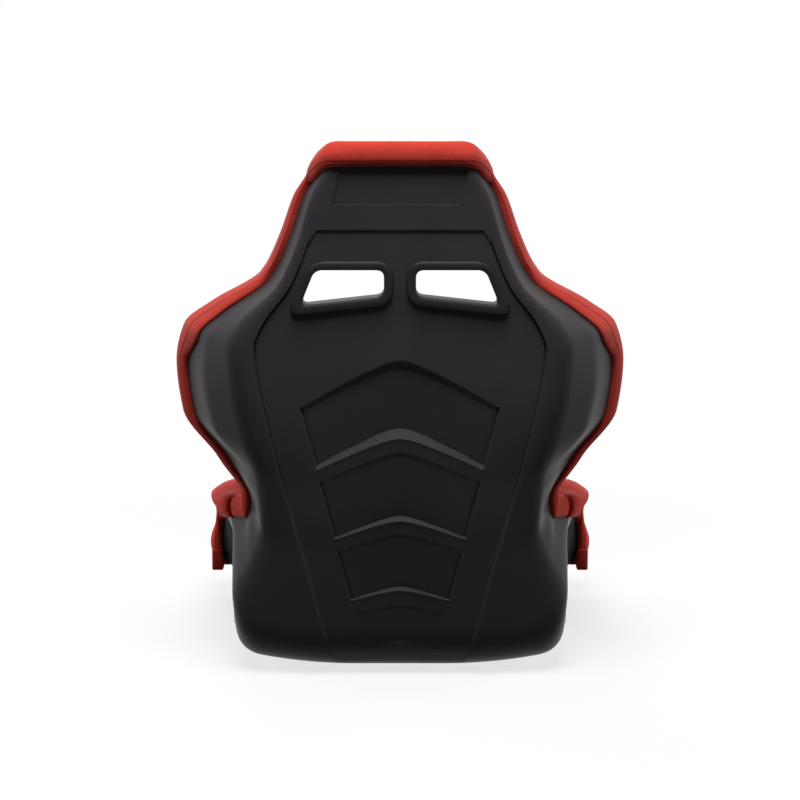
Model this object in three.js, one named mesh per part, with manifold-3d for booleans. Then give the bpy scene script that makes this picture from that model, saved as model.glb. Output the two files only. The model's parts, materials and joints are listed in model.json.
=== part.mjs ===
// Fixed-back racing seat: a moulded bucket shell with belt slots, rolled rim covers, glued bolsters,
// removable cushions on hook strips, and threaded side mounts. Millimetres, +Z up. The seat faces -Y and
// stands on its pan at Z = 0; X = 0 is its plane of symmetry, and Y = 0 lies midway between its mounts.
import * as THREE from "three";
import { mergeVertices } from "three/addons/utils/BufferGeometryUtils.js";
import Module from "manifold-3d";

const wasm = await Module();
wasm.setup();

// ---- Driving dimensions -------------------------------------------------------------------------

const gap = 0.4; // air between two pieces that touch on the real seat
const seam = 1.3; // how far each pad stays back from its seams
const room = 1; // air round the shell, between its flat facets and theirs
const bite = 1.5; // how far the upholstery is drawn into the shell before the shell is cut from it
const shellWall = 4.5; // laminate thickness

// Side view of the shell's outside, as lines and arcs from the front lip to the head.
const lipLength = 25;
const lipRadius = 120;
const lipAngle = 45; // of the lip's underside, in degrees
const panLength = 247.5;
const heelRadius = 100;
const lowerLean = 16; // of the lumbar part, from the vertical, in degrees
const lumbarLength = 167.5;
const shoulderCurve = 190; // length over which the back straightens up
const upperLean = 9;
const headLength = 296;
const panShift = 10.75; // of the pan's middle behind the middle between the side mounts
const heelStart = panLength / 2 + panShift; // Y where the flat underside ends

// Sunk areas of the back.
const panelDepth = 3;
const panelEdge = 6; // width of the slope round the centre panel
const pocketLow = 64; // half-width of the V pockets at the foot of the lowest
const pocketHigh = 124; // and at the top of the highest
const pocketEdge = 4; // width of the pockets' side slopes
const pocketTaper = 0.6; // share of its depth that a pocket loses between its middle and its side
const ledgeRun = 9; // width of the ledge that closes a pocket below
const softStep = 12; // width of the soft step at a pocket's top
const slopeLow = 0.23; // fall of the lowest V per millimetre away from the centre
const slopeHigh = 0.45;

// Upholstery.
const coverFoam = 9; // rolled cover outside the shell's edge
const coverCap = 13; // how far the roll stands past the edge
const coverOuterLeg = 17; // how far the roll reaches down the outside
const coverInnerLeg = 26; // how far it reaches down the inside
const coverInnerFoam = 17;
const endFill = 0.55; // share of the lining's thickness that the covers take at the front and top edges
const cornerFill = 0.8; // and at their corners
const lipFill = 0.5; // and in the middle of the front lip
const tailDrop = 20; // how far the thigh covers' ends hang below the front lip
const tailOut = 8; // how far they stand outside the wall
const tailWidth = 17;
const tailFront = 10; // how far they stand in front of the edge
const lipFoam = 3; // the cover in the middle of the front lip is thinner
const lipCap = 8;
const floorFoam = 28; // glued lining of the pan, back and head
const wallFoam = 38; // bolsters on the side walls
const crestLean = 0.4; // how far the bolster's crest moves inwards for its height
const padEdge = 0.45; // share of the full thickness that a pad keeps along its seams
const seatCushion = 40; // thickness of the removable cushions
const lumbarCushion = 30;
const headCushion = 34;
const cushionEdge = 0.5;
const cushionSeam = 2; // how far it stays back from the seams round it
const stripThickness = 2.2; // hook strips that hold the removable cushions

// Belt slots.
const beadWidth = 12; // rolled edge round a shoulder slot
const beadHeight = 5;
const smallBead = 7; // the same on the lap and crotch slots
const smallBeadHeight = 4;
const sleeveWall = 2.4;
const slotCorner = 10;
const shoulderSlotPlace = 0.424; // along the head part
const shoulderSlotInner = 20;
const shoulderSlotTop = 21;
const shoulderSlotTopWidth = 86;
const shoulderSlotFootWidth = 104;
const shoulderSlotInnerFoot = -12;
const shoulderSlotOuterFoot = -24;
const lapSlotLength = 64;
const lapSlotHeight = 26;
const lapSlotY = 113;
const lapSlotZ = 104;
const crotchSlotWidth = 84;
const crotchSlotLength = 34;
const crotchSlotY = -58;

// Side mounts.
const wallPlane = 224; // half-width over the flat lower side walls
const flatHalf = 62; // half-width of the pan's level middle, beyond which the floor curves up
const mountReach = 21.25; // how much further apart the mounts are than the pan's ends, at each end
const mountSpacing = panLength + 2 * mountReach; // front to rear
const mountHeight = 69;
const threadRadius = 3.4; // core of an M8 thread
const insertRadius = 8;
const insertFlange = 13;
const insertFlangeHeight = 2;
const plateHeight = 20;
const plateThickness = 4;
const plateMargin = 8; // plate past the centre of each insert
const roundSegments = 16; // sides of a turned piece

// ---- The spine: the shell's outside on the plane of symmetry ------------------------------------

const radians = THREE.MathUtils.degToRad;

const spineSegments = [
  { name: "lip", length: lipLength, turn: 0 },
  { name: "lipCurve", length: lipRadius * radians(lipAngle), turn: radians(lipAngle) },
  { name: "pan", length: panLength, turn: 0 },
  { name: "heel", length: heelRadius * radians(90 - lowerLean), turn: radians(90 - lowerLean) },
  { name: "lumbar", length: lumbarLength, turn: 0 },
  { name: "shoulder", length: shoulderCurve, turn: radians(lowerLean - upperLean) },
  { name: "head", length: headLength, turn: 0 },
];

// Point at a distance along an arc (or a line) that starts at y, z with a heading.
function alongArc({ y, z, heading, length, turn }, distance) {
  if (Math.abs(turn) < 1e-9) {
    return { y: y + distance * Math.cos(heading), z: z + distance * Math.sin(heading), heading };
  }
  const radius = length / turn;
  const ahead = heading + distance / radius;
  return {
    y: y + radius * (Math.sin(ahead) - Math.sin(heading)),
    z: z - radius * (Math.cos(ahead) - Math.cos(heading)),
    heading: ahead,
  };
}

// Places the segments in a row, then moves all so that the pan lies at Z = 0 and ends at heelStart.
function placeSpine() {
  let at = { y: 0, z: 0, heading: -radians(lipAngle) };
  let start = 0;
  const placed = [];
  for (const segment of spineSegments) {
    placed.push({ ...segment, ...at, start });
    at = alongArc(placed.at(-1), segment.length);
    start += segment.length;
  }
  const heel = placed.find((segment) => segment.name === "heel");
  const shift = { y: heelStart - heel.y, z: -heel.z };
  return placed.map((segment) => ({ ...segment, y: segment.y + shift.y, z: segment.z + shift.z }));
}

const spine = placeSpine();
const startOf = Object.fromEntries(spine.map((segment) => [segment.name, segment.start]));
const spineLength = spine.at(-1).start + spine.at(-1).length;

function spinePoint(s) {
  const segment = spine.findLast((one) => one.start <= s) ?? spine[0];
  return alongArc(segment, s - segment.start);
}

// ---- Cross-sections -----------------------------------------------------------------------------

// Each station is one cross-section: where it leaves the spine (s), the rim's half-width, the rim's place
// from the spine (back is +Y, up is +Z), the half-width of the sunk centre panel, the corner between floor
// and wall (half-width), the crease in the wall (half-width, and height as a share of the way to the rim),
// how far the floor bows towards the occupant at its corner (dish), and how far the bolster stands above the
// rim (crest). The corner and the crease take the lengths round and soft from the straights beside them.
const pan = (share) => startOf.pan + share * panLength;
const heel = (share) => startOf.heel + share * (startOf.lumbar - startOf.heel);
const lumbar = (share) => startOf.lumbar + share * lumbarLength;
const shoulder = (share) => startOf.shoulder + share * shoulderCurve;
const head = (share) => startOf.head + share * headLength;
const flat = wallPlane;
const stations = [
  { s: 0, rim: 273, back: -1, up: 56, panel: 70, corner: 279,
    crease: [280, 0.6], dish: 9, crest: 0, round: 14, soft: 12 },
  { s: 30, rim: 271, back: -14, up: 103, panel: 70, corner: 257,
    crease: [264, 0.5], dish: 11, crest: 4, round: 22, soft: 24 },
  { s: 62, rim: 271, back: -27, up: 138, panel: 70, corner: 238,
    crease: [246, 0.5], dish: 13, crest: 12, round: 30, soft: 28 },
  { s: 84, rim: 270, back: -41, up: 153, panel: 70, corner: flat,
    crease: [flat, 0.62], dish: 15, crest: 18, round: 34, soft: 24 },
  { s: pan(0.2), rim: 268, back: -53, up: 174, panel: 70, corner: flat,
    crease: [flat, 0.68], dish: 17, crest: 20, round: 36, soft: 28 },
  { s: pan(0.6), rim: 261, back: -59, up: 194, panel: 72, corner: flat,
    crease: [flat, 0.74], dish: 18, crest: 27, round: 36, soft: 28 },
  { s: heel(0), rim: 249, back: -68, up: 209, panel: 78, corner: flat,
    crease: [flat, 0.76], dish: 19, crest: 24, round: 36, soft: 28 },
  { s: heel(0.35), rim: 244, back: -88, up: 201, panel: 84, corner: flat,
    crease: [flat, 0.75], dish: 19, crest: 18, round: 38, soft: 28 },
  { s: heel(0.65), rim: 238, back: -98, up: 183, panel: 90, corner: flat,
    crease: [flat, 0.74], dish: 18, crest: 8, round: 42, soft: 28 },
  { s: heel(1), rim: 226, back: -102, up: 147, panel: 101, corner: 224,
    crease: [226, 0.6], dish: 17, crest: 0, round: 40, soft: 28 },
  { s: lumbar(0.465), rim: 203, back: -76, up: 84, panel: 118, corner: 197,
    crease: [203, 0.5], dish: 15, crest: 0, round: 34, soft: 26 },
  { s: lumbar(0.82), rim: 203, back: -88, up: 48, panel: 132, corner: 180,
    crease: [190, 0.45], dish: 12, crest: 0, round: 24, soft: 20 },
  { s: shoulder(0.24), rim: 236, back: -118, up: 22, panel: 149, corner: 180,
    crease: [198, 0.34], dish: 8, crest: 0, round: 20, soft: 12 },
  { s: shoulder(0.58), rim: 282, back: -148, up: 18, panel: 162, corner: 194,
    crease: [243, 0.4], dish: 3, crest: 0, round: 20, soft: 10 },
  { s: shoulder(0.95), rim: 288, back: -150, up: 12, panel: 175, corner: 206,
    crease: [254, 0.44], dish: 0, crest: 0, round: 20, soft: 10 },
  { s: head(0.15), rim: 277, back: -138, up: 8, panel: 181, corner: 210,
    crease: [250, 0.48], dish: 0, crest: 0, round: 20, soft: 12 },
  { s: head(0.26), rim: 242, back: -118, up: 6, panel: 168, corner: 196,
    crease: [220, 0.5], dish: 0, crest: 0, round: 18, soft: 12 },
  { s: head(0.43), rim: 172, back: -88, up: 2, panel: 132, corner: 150,
    crease: [162, 0.5], dish: 0, crest: 0, round: 10, soft: 12 },
  { s: head(0.62), rim: 144, back: -68, up: -1, panel: 110, corner: 125,
    crease: [136, 0.5], dish: 0, crest: 0, round: 8, soft: 12 },
  { s: head(0.81), rim: 126, back: -58, up: -8, panel: 92, corner: 108,
    crease: [118, 0.5], dish: 0, crest: 0, round: 8, soft: 12 },
  { s: head(1), rim: 106, back: -44, up: -22, panel: 70, corner: 84,
    crease: [97, 0.45], dish: 0, crest: 0, round: 10, soft: 12 },
];

const { lerp, clamp, smoothstep } = THREE.MathUtils;

// Slope of a station value that keeps it from swinging past its neighbours.
function steadySlope(before, at, after, read) {
  const incoming = (read(at) - read(before)) / (at.s - before.s);
  const outgoing = (read(after) - read(at)) / (after.s - at.s);
  if (before === at || after === at || incoming * outgoing <= 0) return 0;
  return (2 * incoming * outgoing) / (incoming + outgoing);
}

// Smooth curve through one value of the stations, read at s.
function readStations(s, read) {
  const last = stations.length - 1;
  const found = stations.findIndex((one) => one.s > s) - 1;
  const k = found >= 0 ? found : s < stations[0].s ? 0 : last - 1;
  const [a, b, c, d] = [k - 1, k, k + 1, k + 2].map((n) => stations[clamp(n, 0, last)]);
  const span = c.s - b.s;
  const t = clamp((s - b.s) / span, 0, 1);
  const slopes = [steadySlope(a, b, c, read), steadySlope(b, c, d, read)];
  const ahead = smoothstep(t, 0, 1);
  const bulge = t * (1 - t) * span;
  return lerp(read(b), read(c), ahead) + bulge * ((1 - t) * slopes[0] - t * slopes[1]);
}

// ---- The shell's surface ------------------------------------------------------------------------

// Numbers of the lines that run along the shell from lip to head, counted from the plane of symmetry.
const line = {
  pocket: 1, pocketOut: 2, panel: 3, panelOut: 4,
  floor: 5, corner: 8, crease: 9, flare: 10, cover: 11, rim: 12,
};

const lowestV = lumbar(0.31); // the V shapes' widths and slopes are those given at these two heights
const highestV = head(0.083);

function pocketHalf(s) {
  return Math.max(lerp(pocketLow, pocketHigh, (s - lowestV) / (highestV - lowestV)), pocketLow * 0.8);
}

const slopeOfV = (s) => lerp(slopeLow, slopeHigh, (s - lowestV) / (highestV - lowestV));

// Bend from one point to another, drawn towards the corner between them.
const arc = (from, corner, to, t) =>
  from.clone().lerp(corner, t).lerp(corner.clone().lerp(to, t), t);

// A section as a curve: bowed floor, bend, wall up to the crease, bend, flare up to the rim. Its points are
// x sideways and y towards the rim from the spine.
class Section {
  constructor(s, { low, high, rim, dish, round, soft, towards }) {
    const share = 0.44; // of a straight that a bend may take
    const wall = share * high.distanceTo(new THREE.Vector2(low.x, low.y + dish));
    const lowCut = Math.min(round, wall, share * low.x);
    const highCut = Math.min(soft, wall, share * high.distanceTo(rim));
    const cut = (at, to, length) => at.clone().lerp(to, length / at.distanceTo(to));
    const level = Math.min(flatHalf, low.x / 2);
    this.s = s;
    this.spine = spinePoint(s);
    this.towards = towards;
    this.floorAt = (x) => low.y + dish * (Math.max(x - level, 0) / (low.x - level)) ** 2;
    const end = low.x - lowCut;
    this.floorEnd = new THREE.Vector2(end, this.floorAt(end));
    const slope = (2 * dish * (end - level)) / (low.x - level) ** 2;
    this.low = new THREE.Vector2(low.x, this.floorEnd.y + slope * lowCut);
    this.high = high;
    this.rim = rim;
    this.wallStart = cut(this.low, high, lowCut);
    this.wallEnd = cut(high, this.low, highCut);
    this.flareStart = cut(high, rim, highCut);
    this.coverLine = cut(rim, high, Math.min(coverInnerLeg, 0.9 * rim.distanceTo(this.flareStart)));
  }

  // Point of a lengthwise line; u may lie between two of them.
  at(u, floorStops) {
    if (u <= line.floor) {
      const k = Math.min(Math.floor(u), line.floor - 1);
      const x = this.floorEnd.x * lerp(floorStops[k], floorStops[k + 1], u - k);
      return new THREE.Vector2(x, this.floorAt(x));
    }
    if (u <= line.corner) {
      return arc(this.floorEnd, this.low, this.wallStart, (u - line.floor) / (line.corner - line.floor));
    }
    if (u <= line.crease) return this.wallStart.clone().lerp(this.wallEnd, u - line.corner);
    if (u <= line.flare) return arc(this.wallEnd, this.high, this.flareStart, u - line.crease);
    if (u <= line.cover) return this.flareStart.clone().lerp(this.coverLine, u - line.flare);
    return this.coverLine.clone().lerp(this.rim, u - line.cover);
  }

  place(point, side) {
    const { y, z } = this.spine;
    return new THREE.Vector3(side * point.x, y + point.y * this.towards.y, z + point.y * this.towards.z);
  }
}

// Shares of the floor at which its lengthwise lines lie: they follow the pockets' and the panel's edges.
function floorStopsAt(s, floorEnd) {
  const panel = readStations(s, (one) => one.panel);
  const pocket = Math.min(pocketHalf(s), panel - 3 * pocketEdge);
  const pocketOut = pocket + pocketEdge;
  const places = [0, pocket, pocketOut, panel, panel + panelEdge, floorEnd];
  return places.map((x) => Math.min(x / floorEnd, 1));
}

function outerShape(s) {
  const back = readStations(s, (one) => one.back);
  const up = readStations(s, (one) => one.up);
  const reach = Math.hypot(back, up);
  const creaseHeight = reach * readStations(s, (one) => one.crease[1]);
  return {
    low: new THREE.Vector2(readStations(s, (one) => one.corner), 0),
    high: new THREE.Vector2(readStations(s, (one) => one.crease[0]), creaseHeight),
    rim: new THREE.Vector2(readStations(s, (one) => one.rim), reach),
    dish: readStations(s, (one) => one.dish),
    round: readStations(s, (one) => one.round),
    soft: readStations(s, (one) => one.soft),
    towards: { y: back / reach, z: up / reach },
  };
}

const outerSection = (s) => new Section(s, outerShape(s));

// The lining's face: the same section moved inwards by the foam, with softer bends.
function liningSection(s) {
  const outer = outerShape(s);
  const wall = Math.min(wallFoam, 0.32 * outer.low.x);
  const crest = readStations(s, (one) => one.crest);
  return new Section(s, {
    ...outer,
    low: new THREE.Vector2(outer.low.x - wall, floorFoam),
    high: new THREE.Vector2(outer.high.x - wall, Math.max(outer.high.y, floorFoam) + coverCap),
    rim: new THREE.Vector2(outer.rim.x - coverInnerFoam - crest * crestLean, outer.rim.y + crest),
    round: outer.round * 0.6 + slotCorner,
    soft: outer.soft + coverCap,
  });
}

// How much a lengthwise line follows the V of the pockets: fully inside the panel, not at all near the rim.
const followsV = (u) => clamp((line.crease - u) / (line.crease - line.panelOut), 0, 1);
const vStart = heel(0.3);
const vEnd = head(0.27);

function rowFall(s) {
  const rising = smoothstep(s, vStart, heel(0.85));
  const falling = 1 - smoothstep(s, highestV, vEnd);
  return slopeOfV(s) * rising * falling;
}

// Place along the spine of the section through crosswise line s at lengthwise line u.
function sectionPlace(u, s) {
  const fall = rowFall(s);
  if (fall === 0) return s;
  const level = outerSection(s);
  const x = level.at(Math.min(Math.abs(u), line.floor), floorStopsAt(s, level.floorEnd.x)).x;
  return s - fall * Math.min(x, pocketHalf(s)) * followsV(Math.abs(u));
}

function facePoint(makeSection, s, u) {
  const section = makeSection(s);
  const stops = floorStopsAt(section.s, outerSection(section.s).floorEnd.x);
  return section.place(section.at(Math.abs(u), stops), Math.sign(u) || 1);
}

const outerPoint = (u, s) => facePoint(outerSection, sectionPlace(u, s), u);
const liningPoint = (u, s) => facePoint(liningSection, s, u);

// Outward normal of a face.
function normalAt(point, u, s) {
  const du = 0.02;
  const ds = 0.5;
  const across = point(Math.min(u + du, line.rim), s).sub(point(Math.max(u - du, -line.rim), s));
  const along = point(u, Math.min(s + ds, spineLength)).sub(point(u, Math.max(s - ds, 0)));
  return along.cross(across).normalize();
}

// ---- Crosswise lines and relief -----------------------------------------------------------------

const chevrons = [
  { top: lumbar(0.22), ledge: heel(0.75), depth: 3 },
  { top: lumbar(0.86), ledge: lumbar(0.38), depth: 8 },
  { top: shoulder(0.49), ledge: shoulder(0.02), depth: 9 },
  { top: highestV, ledge: shoulder(0.64), depth: 15 },
];
const topSeam = spineLength - coverInnerLeg;
const panelTop = head(0.657);
const panelFoot = heel(0.3);

// Crosswise lines: s, the depth of a pocket there, and whether the panel is sunk there.
function crosswiseLines() {
  const plain = (places, sunk) => places.map((s) => ({ s, pocket: 0, panel: sunk }));
  const rows = plain([0, coverInnerLeg, startOf.lipCurve + 38, 84, pan(0.12), pan(0.4), pan(0.7), pan(1)], 0);
  rows.push(...plain([heel(0.15), panelFoot], 0), ...plain([panelFoot + 20], 0.5), ...plain([heel(0.58)], 1));
  for (const { top, ledge, depth } of chevrons) {
    rows.push({ s: ledge, pocket: 0, panel: 1 });
    rows.push({ s: ledge + ledgeRun, pocket: depth, panel: 1 });
    rows.push({ s: (ledge + top) / 2, pocket: depth * 0.62, panel: 1 });
    rows.push({ s: top - softStep, pocket: depth * 0.25, panel: 1 });
    rows.push({ s: top, pocket: 0, panel: 1 });
  }
  rows.push(...plain([head(0.19), vEnd, head(0.35), head(0.44), head(0.55), panelTop], 1));
  rows.push(...plain([panelTop + panelEdge, head(0.76), head(0.86), topSeam, spineLength], 0));
  return rows;
}

const rows = crosswiseLines();

function reliefAt(u, row) {
  const a = Math.abs(u);
  const panel = a <= line.panel ? panelDepth * row.panel : 0;
  const pocket = a <= line.pocket ? row.pocket * (1 - (pocketTaper * a) / line.pocket) : 0;
  return panel + pocket;
}

// ---- Solids from a bent box ---------------------------------------------------------------------

// A closed solid between two grids of points, near and far, each [crosswise][lengthwise].
function bentBox(near, far, diagonals = padDiagonals) {
  const across = near[0].length - 1;
  const along = near.length - 1;
  const box = new THREE.BoxGeometry(across, along, 1, across, along, 1);
  const place = box.getAttribute("position");
  for (let k = 0; k < place.count; k++) {
    const i = Math.round(place.getX(k) + across / 2);
    const j = Math.round(place.getY(k) + along / 2);
    const grid = place.getZ(k) > 0 ? far : near;
    place.setXYZ(k, ...grid[j][i]);
  }
  turnDiagonals(box, diagonals);
  return weld(box);
}

// Whether a quad of each of the box's six faces gets the other diagonal, on the left side of the seat or not:
// faces of neighbouring pieces then bend alike, and the seat is the same left and right. A roll's crosswise
// lines are mirrored, a pad's lengthwise ones.
const always = () => true;
const never = () => false;
const onLeft = (left) => left;
const onRight = (left) => !left;
const padDiagonals = [never, always, onLeft, onRight, onRight, onLeft];
const rollDiagonals = [onLeft, onLeft, always, never, onRight, onLeft];

function turnDiagonals(box, turned) {
  const x = (vertex) => box.getAttribute("position").getX(vertex);
  box.groups.forEach((face, side) => {
    for (let k = face.start; k < face.start + face.count; k += 6) {
      const [a, b, d] = box.index.array.slice(k, k + 3);
      const c = box.index.getX(k + 4);
      if (turned[side](x(a) + x(b) + x(c) + x(d) > 0)) box.index.array.set([a, b, c, a, c, d], k);
    }
  });
}

// Merges the vertices that share a place.
function weld(geometry) {
  const bare = geometry.clone();
  bare.deleteAttribute("normal");
  bare.deleteAttribute("uv");
  return mergeVertices(bare, 1e-3);
}

function toSolid(geometry) {
  const welded = weld(geometry);
  const shape = { numProp: 3, vertProperties: new Float32Array(welded.getAttribute("position").array) };
  return new wasm.Manifold(new wasm.Mesh({ ...shape, triVerts: new Uint32Array(welded.index.array) }));
}

function toGeometry(solid) {
  const { vertProperties, triVerts } = solid.getMesh();
  const geometry = new THREE.BufferGeometry();
  geometry.setAttribute("position", new THREE.BufferAttribute(vertProperties, 3));
  return geometry.setIndex(new THREE.BufferAttribute(triVerts, 1));
}

const cut = (geometry, ...tools) =>
  toGeometry(tools.reduce((solid, tool) => solid.subtract(toSolid(tool)), toSolid(geometry)));
const join = (...geometries) => toGeometry(geometries.map(toSolid).reduce((all, one) => all.add(one)));

const lengthwise = (from, to) => Array.from({ length: to - from + 1 }, (_, k) => from + k);
const rowsBetween = (from, to) => rows.filter((row) => row.s > from - 1 && row.s < to + 1);

// Moves a grid's border points inwards along the grid, which leaves a seam between neighbours. The insets are
// those of its first and last column and of its first and last row.
function insetBorders(grid, [firstColumn, lastColumn, firstRow, endRow]) {
  const moved = grid.map((row) => row.map((point) => point.clone()));
  const shift = (to, from, neighbour, inset) =>
    to.addScaledVector(neighbour.clone().sub(from).normalize(), inset);
  const lastRow = grid.length - 1;
  const last = grid[0].length - 1;
  grid.forEach((row, j) => {
    shift(moved[j][0], row[0], row[1], firstColumn);
    shift(moved[j][last], row[last], row[last - 1], lastColumn);
  });
  grid[0].forEach((_, i) => {
    shift(moved[0][i], grid[0][i], grid[1][i], firstRow);
    shift(moved[lastRow][i], grid[lastRow][i], grid[lastRow - 1][i], endRow);
  });
  return moved;
}

const insetGrid = (grid, inset) => insetBorders(grid, [inset, inset, inset, inset]);

const gridOf = (places, columns, point) => places.map((row) => columns.map((u) => point(u, row)));

// Point at a depth inside the shell's outer face, following its relief.
function shellPoint(u, row, depth) {
  const normal = normalAt(outerPoint, u, row.s);
  return outerPoint(u, row.s).addScaledVector(normal, -depth - reliefAt(u, row));
}

// The whole shell with air round it, which is the room that it takes away from the upholstery.
function makeShell(air) {
  const columns = lengthwise(-line.rim, line.rim);
  const face = (depth) => insetGrid(gridOf(rows, columns, (u, row) => shellPoint(u, row, depth)), -air);
  return bentBox(face(-air), face(shellWall + air));
}

// A panel of the shell, from its own edges or from the gaps that part it from the panels beside it.
function makePanel(columns, places) {
  const parted = [
    columns[0] !== -line.rim,
    columns.at(-1) !== line.rim,
    places[0] !== rows[0],
    places.at(-1) !== rows.at(-1),
  ];
  const insets = parted.map((shared) => (shared ? gap / 2 : 0));
  const face = (depth) => {
    const grid = gridOf(places, columns, (u, row) => shellPoint(u, row, depth));
    return insetBorders(grid, insets);
  };
  return bentBox(face(0), face(shellWall));
}

const shellRoom = [room, room / 2, 0]
  .map((air) => toSolid(makeShell(air)))
  .reduce((all, one) => all.add(one));

// Cuts the shell's room from a piece, without the crumbs that a cut can leave.
function clearOfShell(geometry) {
  const bodies = toSolid(geometry).subtract(shellRoom).decompose();
  return toGeometry(bodies.reduce((best, body) => (body.volume() > best.volume() ? body : best)));
}

// A glued pad: its back follows the shell, its face is the lining's, thinner along the seams.
function makePad(columns, places) {
  const back = gridOf(places, columns, (u, row) => shellPoint(u, row, shellWall - bite));
  const share = (index, last) => (index === 0 || index === last ? padEdge : 1);
  const face = places.map((row, j) =>
    columns.map((u, i) => {
      const full = Math.min(share(i, columns.length - 1), share(j, places.length - 1));
      return back[j][i].clone().lerp(liningPoint(u, row.s), full);
    }),
  );
  return clearOfShell(bentBox(insetGrid(back, seam), insetGrid(face, seam)));
}

// ---- Rolled covers round the shell's edge -------------------------------------------------------

// A place on the shell's edge: the edge itself and the inner border of the cover's leg, as lines u and s, how
// the edge runs on from there, and how much of the lining's thickness the leg has.
function edgeStop(edge, leg, run, fill = 1) {
  const ahead = outerPoint(edge.u + run.u, edge.s + run.s);
  const behind = outerPoint(edge.u - run.u, edge.s - run.s);
  const course = ahead.sub(behind).normalize();
  const away = outerPoint(edge.u, edge.s).sub(outerPoint(leg.u, leg.s));
  return { edge, leg, fill, away: away.addScaledVector(course, -away.dot(course)).normalize() };
}

// A roll's section, from the leg outside the shell, round its edge, to the leg inside it. Each point is how
// far along it lies from the leg's border (0) to the edge (1), millimetres past the edge, millimetres inside
// the outer face, and the share of the way from there to the lining's face.
function rollSection({ foam, cap }) {
  const outerLeg = 1 - coverOuterLeg / coverInnerLeg;
  const inside = shellWall - bite;
  return [
    { near: [outerLeg, 0, bite, 0], far: [outerLeg, 0, -gap - foam * 0.35, 0] },
    { near: [(1 + outerLeg) / 2, 0, bite, 0], far: [(1 + outerLeg) / 2, 0, -foam, 0] },
    { near: [1, -bite, bite, 0], far: [1, cap * 0.3, -foam * 0.95, 0] },
    { near: [1, -bite, shellWall / 2, 0], far: [1, cap * 0.93, -foam * 0.2, 0] },
    { near: [1, -bite, inside, 0], far: [1, cap * 0.85, inside, 0.4] },
    { near: [0.5, 0, inside, 0], far: [1, 0, inside, 1] },
    { near: [0, 0, inside, 0], far: [0.3, 0, inside, 1] },
  ];
}

function rollPoint(stop, [along, beyond, depth, share]) {
  const u = lerp(stop.leg.u, stop.edge.u, along);
  const s = lerp(stop.leg.s, stop.edge.s, along);
  const point = outerPoint(u, s).addScaledVector(normalAt(outerPoint, u, s), -depth);
  return point.lerp(liningPoint(u, s), share * stop.fill).addScaledVector(stop.away, beyond);
}

const rollGrid = (stops, section, face) =>
  stops.map((stop) => section.map((pair) => rollPoint(stop, pair[face])));

// Moves the first and last rows of a grid towards their neighbours.
function insetEnds(grid, inset) {
  const moved = grid.map((row) => row.map((point) => point.clone()));
  const last = grid.length - 1;
  grid[0].forEach((_, i) => {
    moved[0][i].addScaledVector(grid[1][i].clone().sub(grid[0][i]).normalize(), inset);
    moved[last][i].addScaledVector(grid[last - 1][i].clone().sub(grid[last][i]).normalize(), inset);
  });
  return moved;
}

function makeRoll(stops, shape) {
  const section = rollSection(shape);
  const [near, far] = ["near", "far"].map((face) => insetEnds(rollGrid(stops, section, face), seam));
  return bentBox(near, far, rollDiagonals);
}

const sideRoll = { foam: coverFoam, cap: coverCap };
const lipRoll = { foam: lipFoam, cap: lipCap };
const hipSeam = (chevrons[0].ledge + chevrons[0].top) / 2;
const neckSeam = head(0.35);
const cornerRows = 1.5 * coverInnerLeg; // lines nearer than this to a corner are left to its mitre

const upwards = { u: 0, s: 4 };
const sideways = { u: 0.2, s: 0 };

const sideStop = (side) => (row) => {
  const lead = row.s < upwards.s || row.s > spineLength - upwards.s ? sideways : upwards;
  return edgeStop({ u: side * line.rim, s: row.s }, { u: side * line.cover, s: row.s }, lead);
};
const frontStop = (fill) => (u) => edgeStop({ u, s: 0 }, { u, s: coverInnerLeg }, sideways, fill);
const topStop = (u) => edgeStop({ u, s: spineLength }, { u, s: topSeam }, sideways, endFill);

// A corner of the sheet, where the roll turns by a mitre.
function cornerStop(side, end, border) {
  const edge = { u: side * line.rim, s: end };
  const leg = { u: side * line.cover, s: border };
  return edgeStop(edge, leg, { u: 0, s: 0 }, cornerFill);
}

// The stops of one side, in the order that keeps the roll's faces outward.
const inOrder = (side, stops) => (side < 0 ? stops : stops.toReversed());

function makeHeadCover() {
  const upTo = spineLength - cornerRows;
  const rising = rowsBetween(neckSeam, upTo).map(sideStop(-1));
  const falling = rowsBetween(neckSeam, upTo).map(sideStop(1)).reverse();
  const half = lengthwise(line.floor, line.flare).filter((u) => u !== line.floor + 1);
  const across = [...half.map((u) => -u).reverse(), -line.panel, 0, line.panel, ...half].map(topStop);
  const corner = (side) => cornerStop(side, spineLength, topSeam);
  return makeRoll([...rising, corner(-1), ...across, corner(1), ...falling], sideRoll);
}

function makeSideCover(side) {
  return makeRoll(inOrder(side, rowsBetween(hipSeam, neckSeam).map(sideStop(side))), sideRoll);
}

// The thigh cover runs round the wall's lower front corner, up its front edge and back along its rim.
function makeThighCover(side) {
  const front = lengthwise(line.floor, line.flare).map((u) => frontStop(endFill)(side * u));
  const corner = cornerStop(side, 0, coverInnerLeg);
  const stops = inOrder(side, [...front, corner, ...rowsBetween(cornerRows, hipSeam).map(sideStop(side))]);
  return join(makeRoll(stops, sideRoll), makeTail(side));
}

// The hanging end of a thigh cover, a strip that is cut off square.
function makeTail(side) {
  const edge = outerPoint(line.corner, 0);
  const level = outerPoint(line.floor, 0).z;
  const outer = edge.x + tailOut;
  const outline = [
    [outer - tailWidth, edge.y + coverOuterLeg],
    [outer - tailWidth, edge.y - tailFront],
    [outer - tailFront, edge.y - tailFront],
    [outer, edge.y],
    [outer, edge.y + coverOuterLeg],
  ].map(([x, y]) => new THREE.Vector2(side * x, y));
  const shape = new THREE.Shape(side < 0 ? outline.reverse() : outline);
  const strip = new THREE.ExtrudeGeometry(shape, { depth: edge.z - level + tailDrop, bevelEnabled: false });
  return strip.translate(0, 0, level - tailDrop);
}

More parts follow.
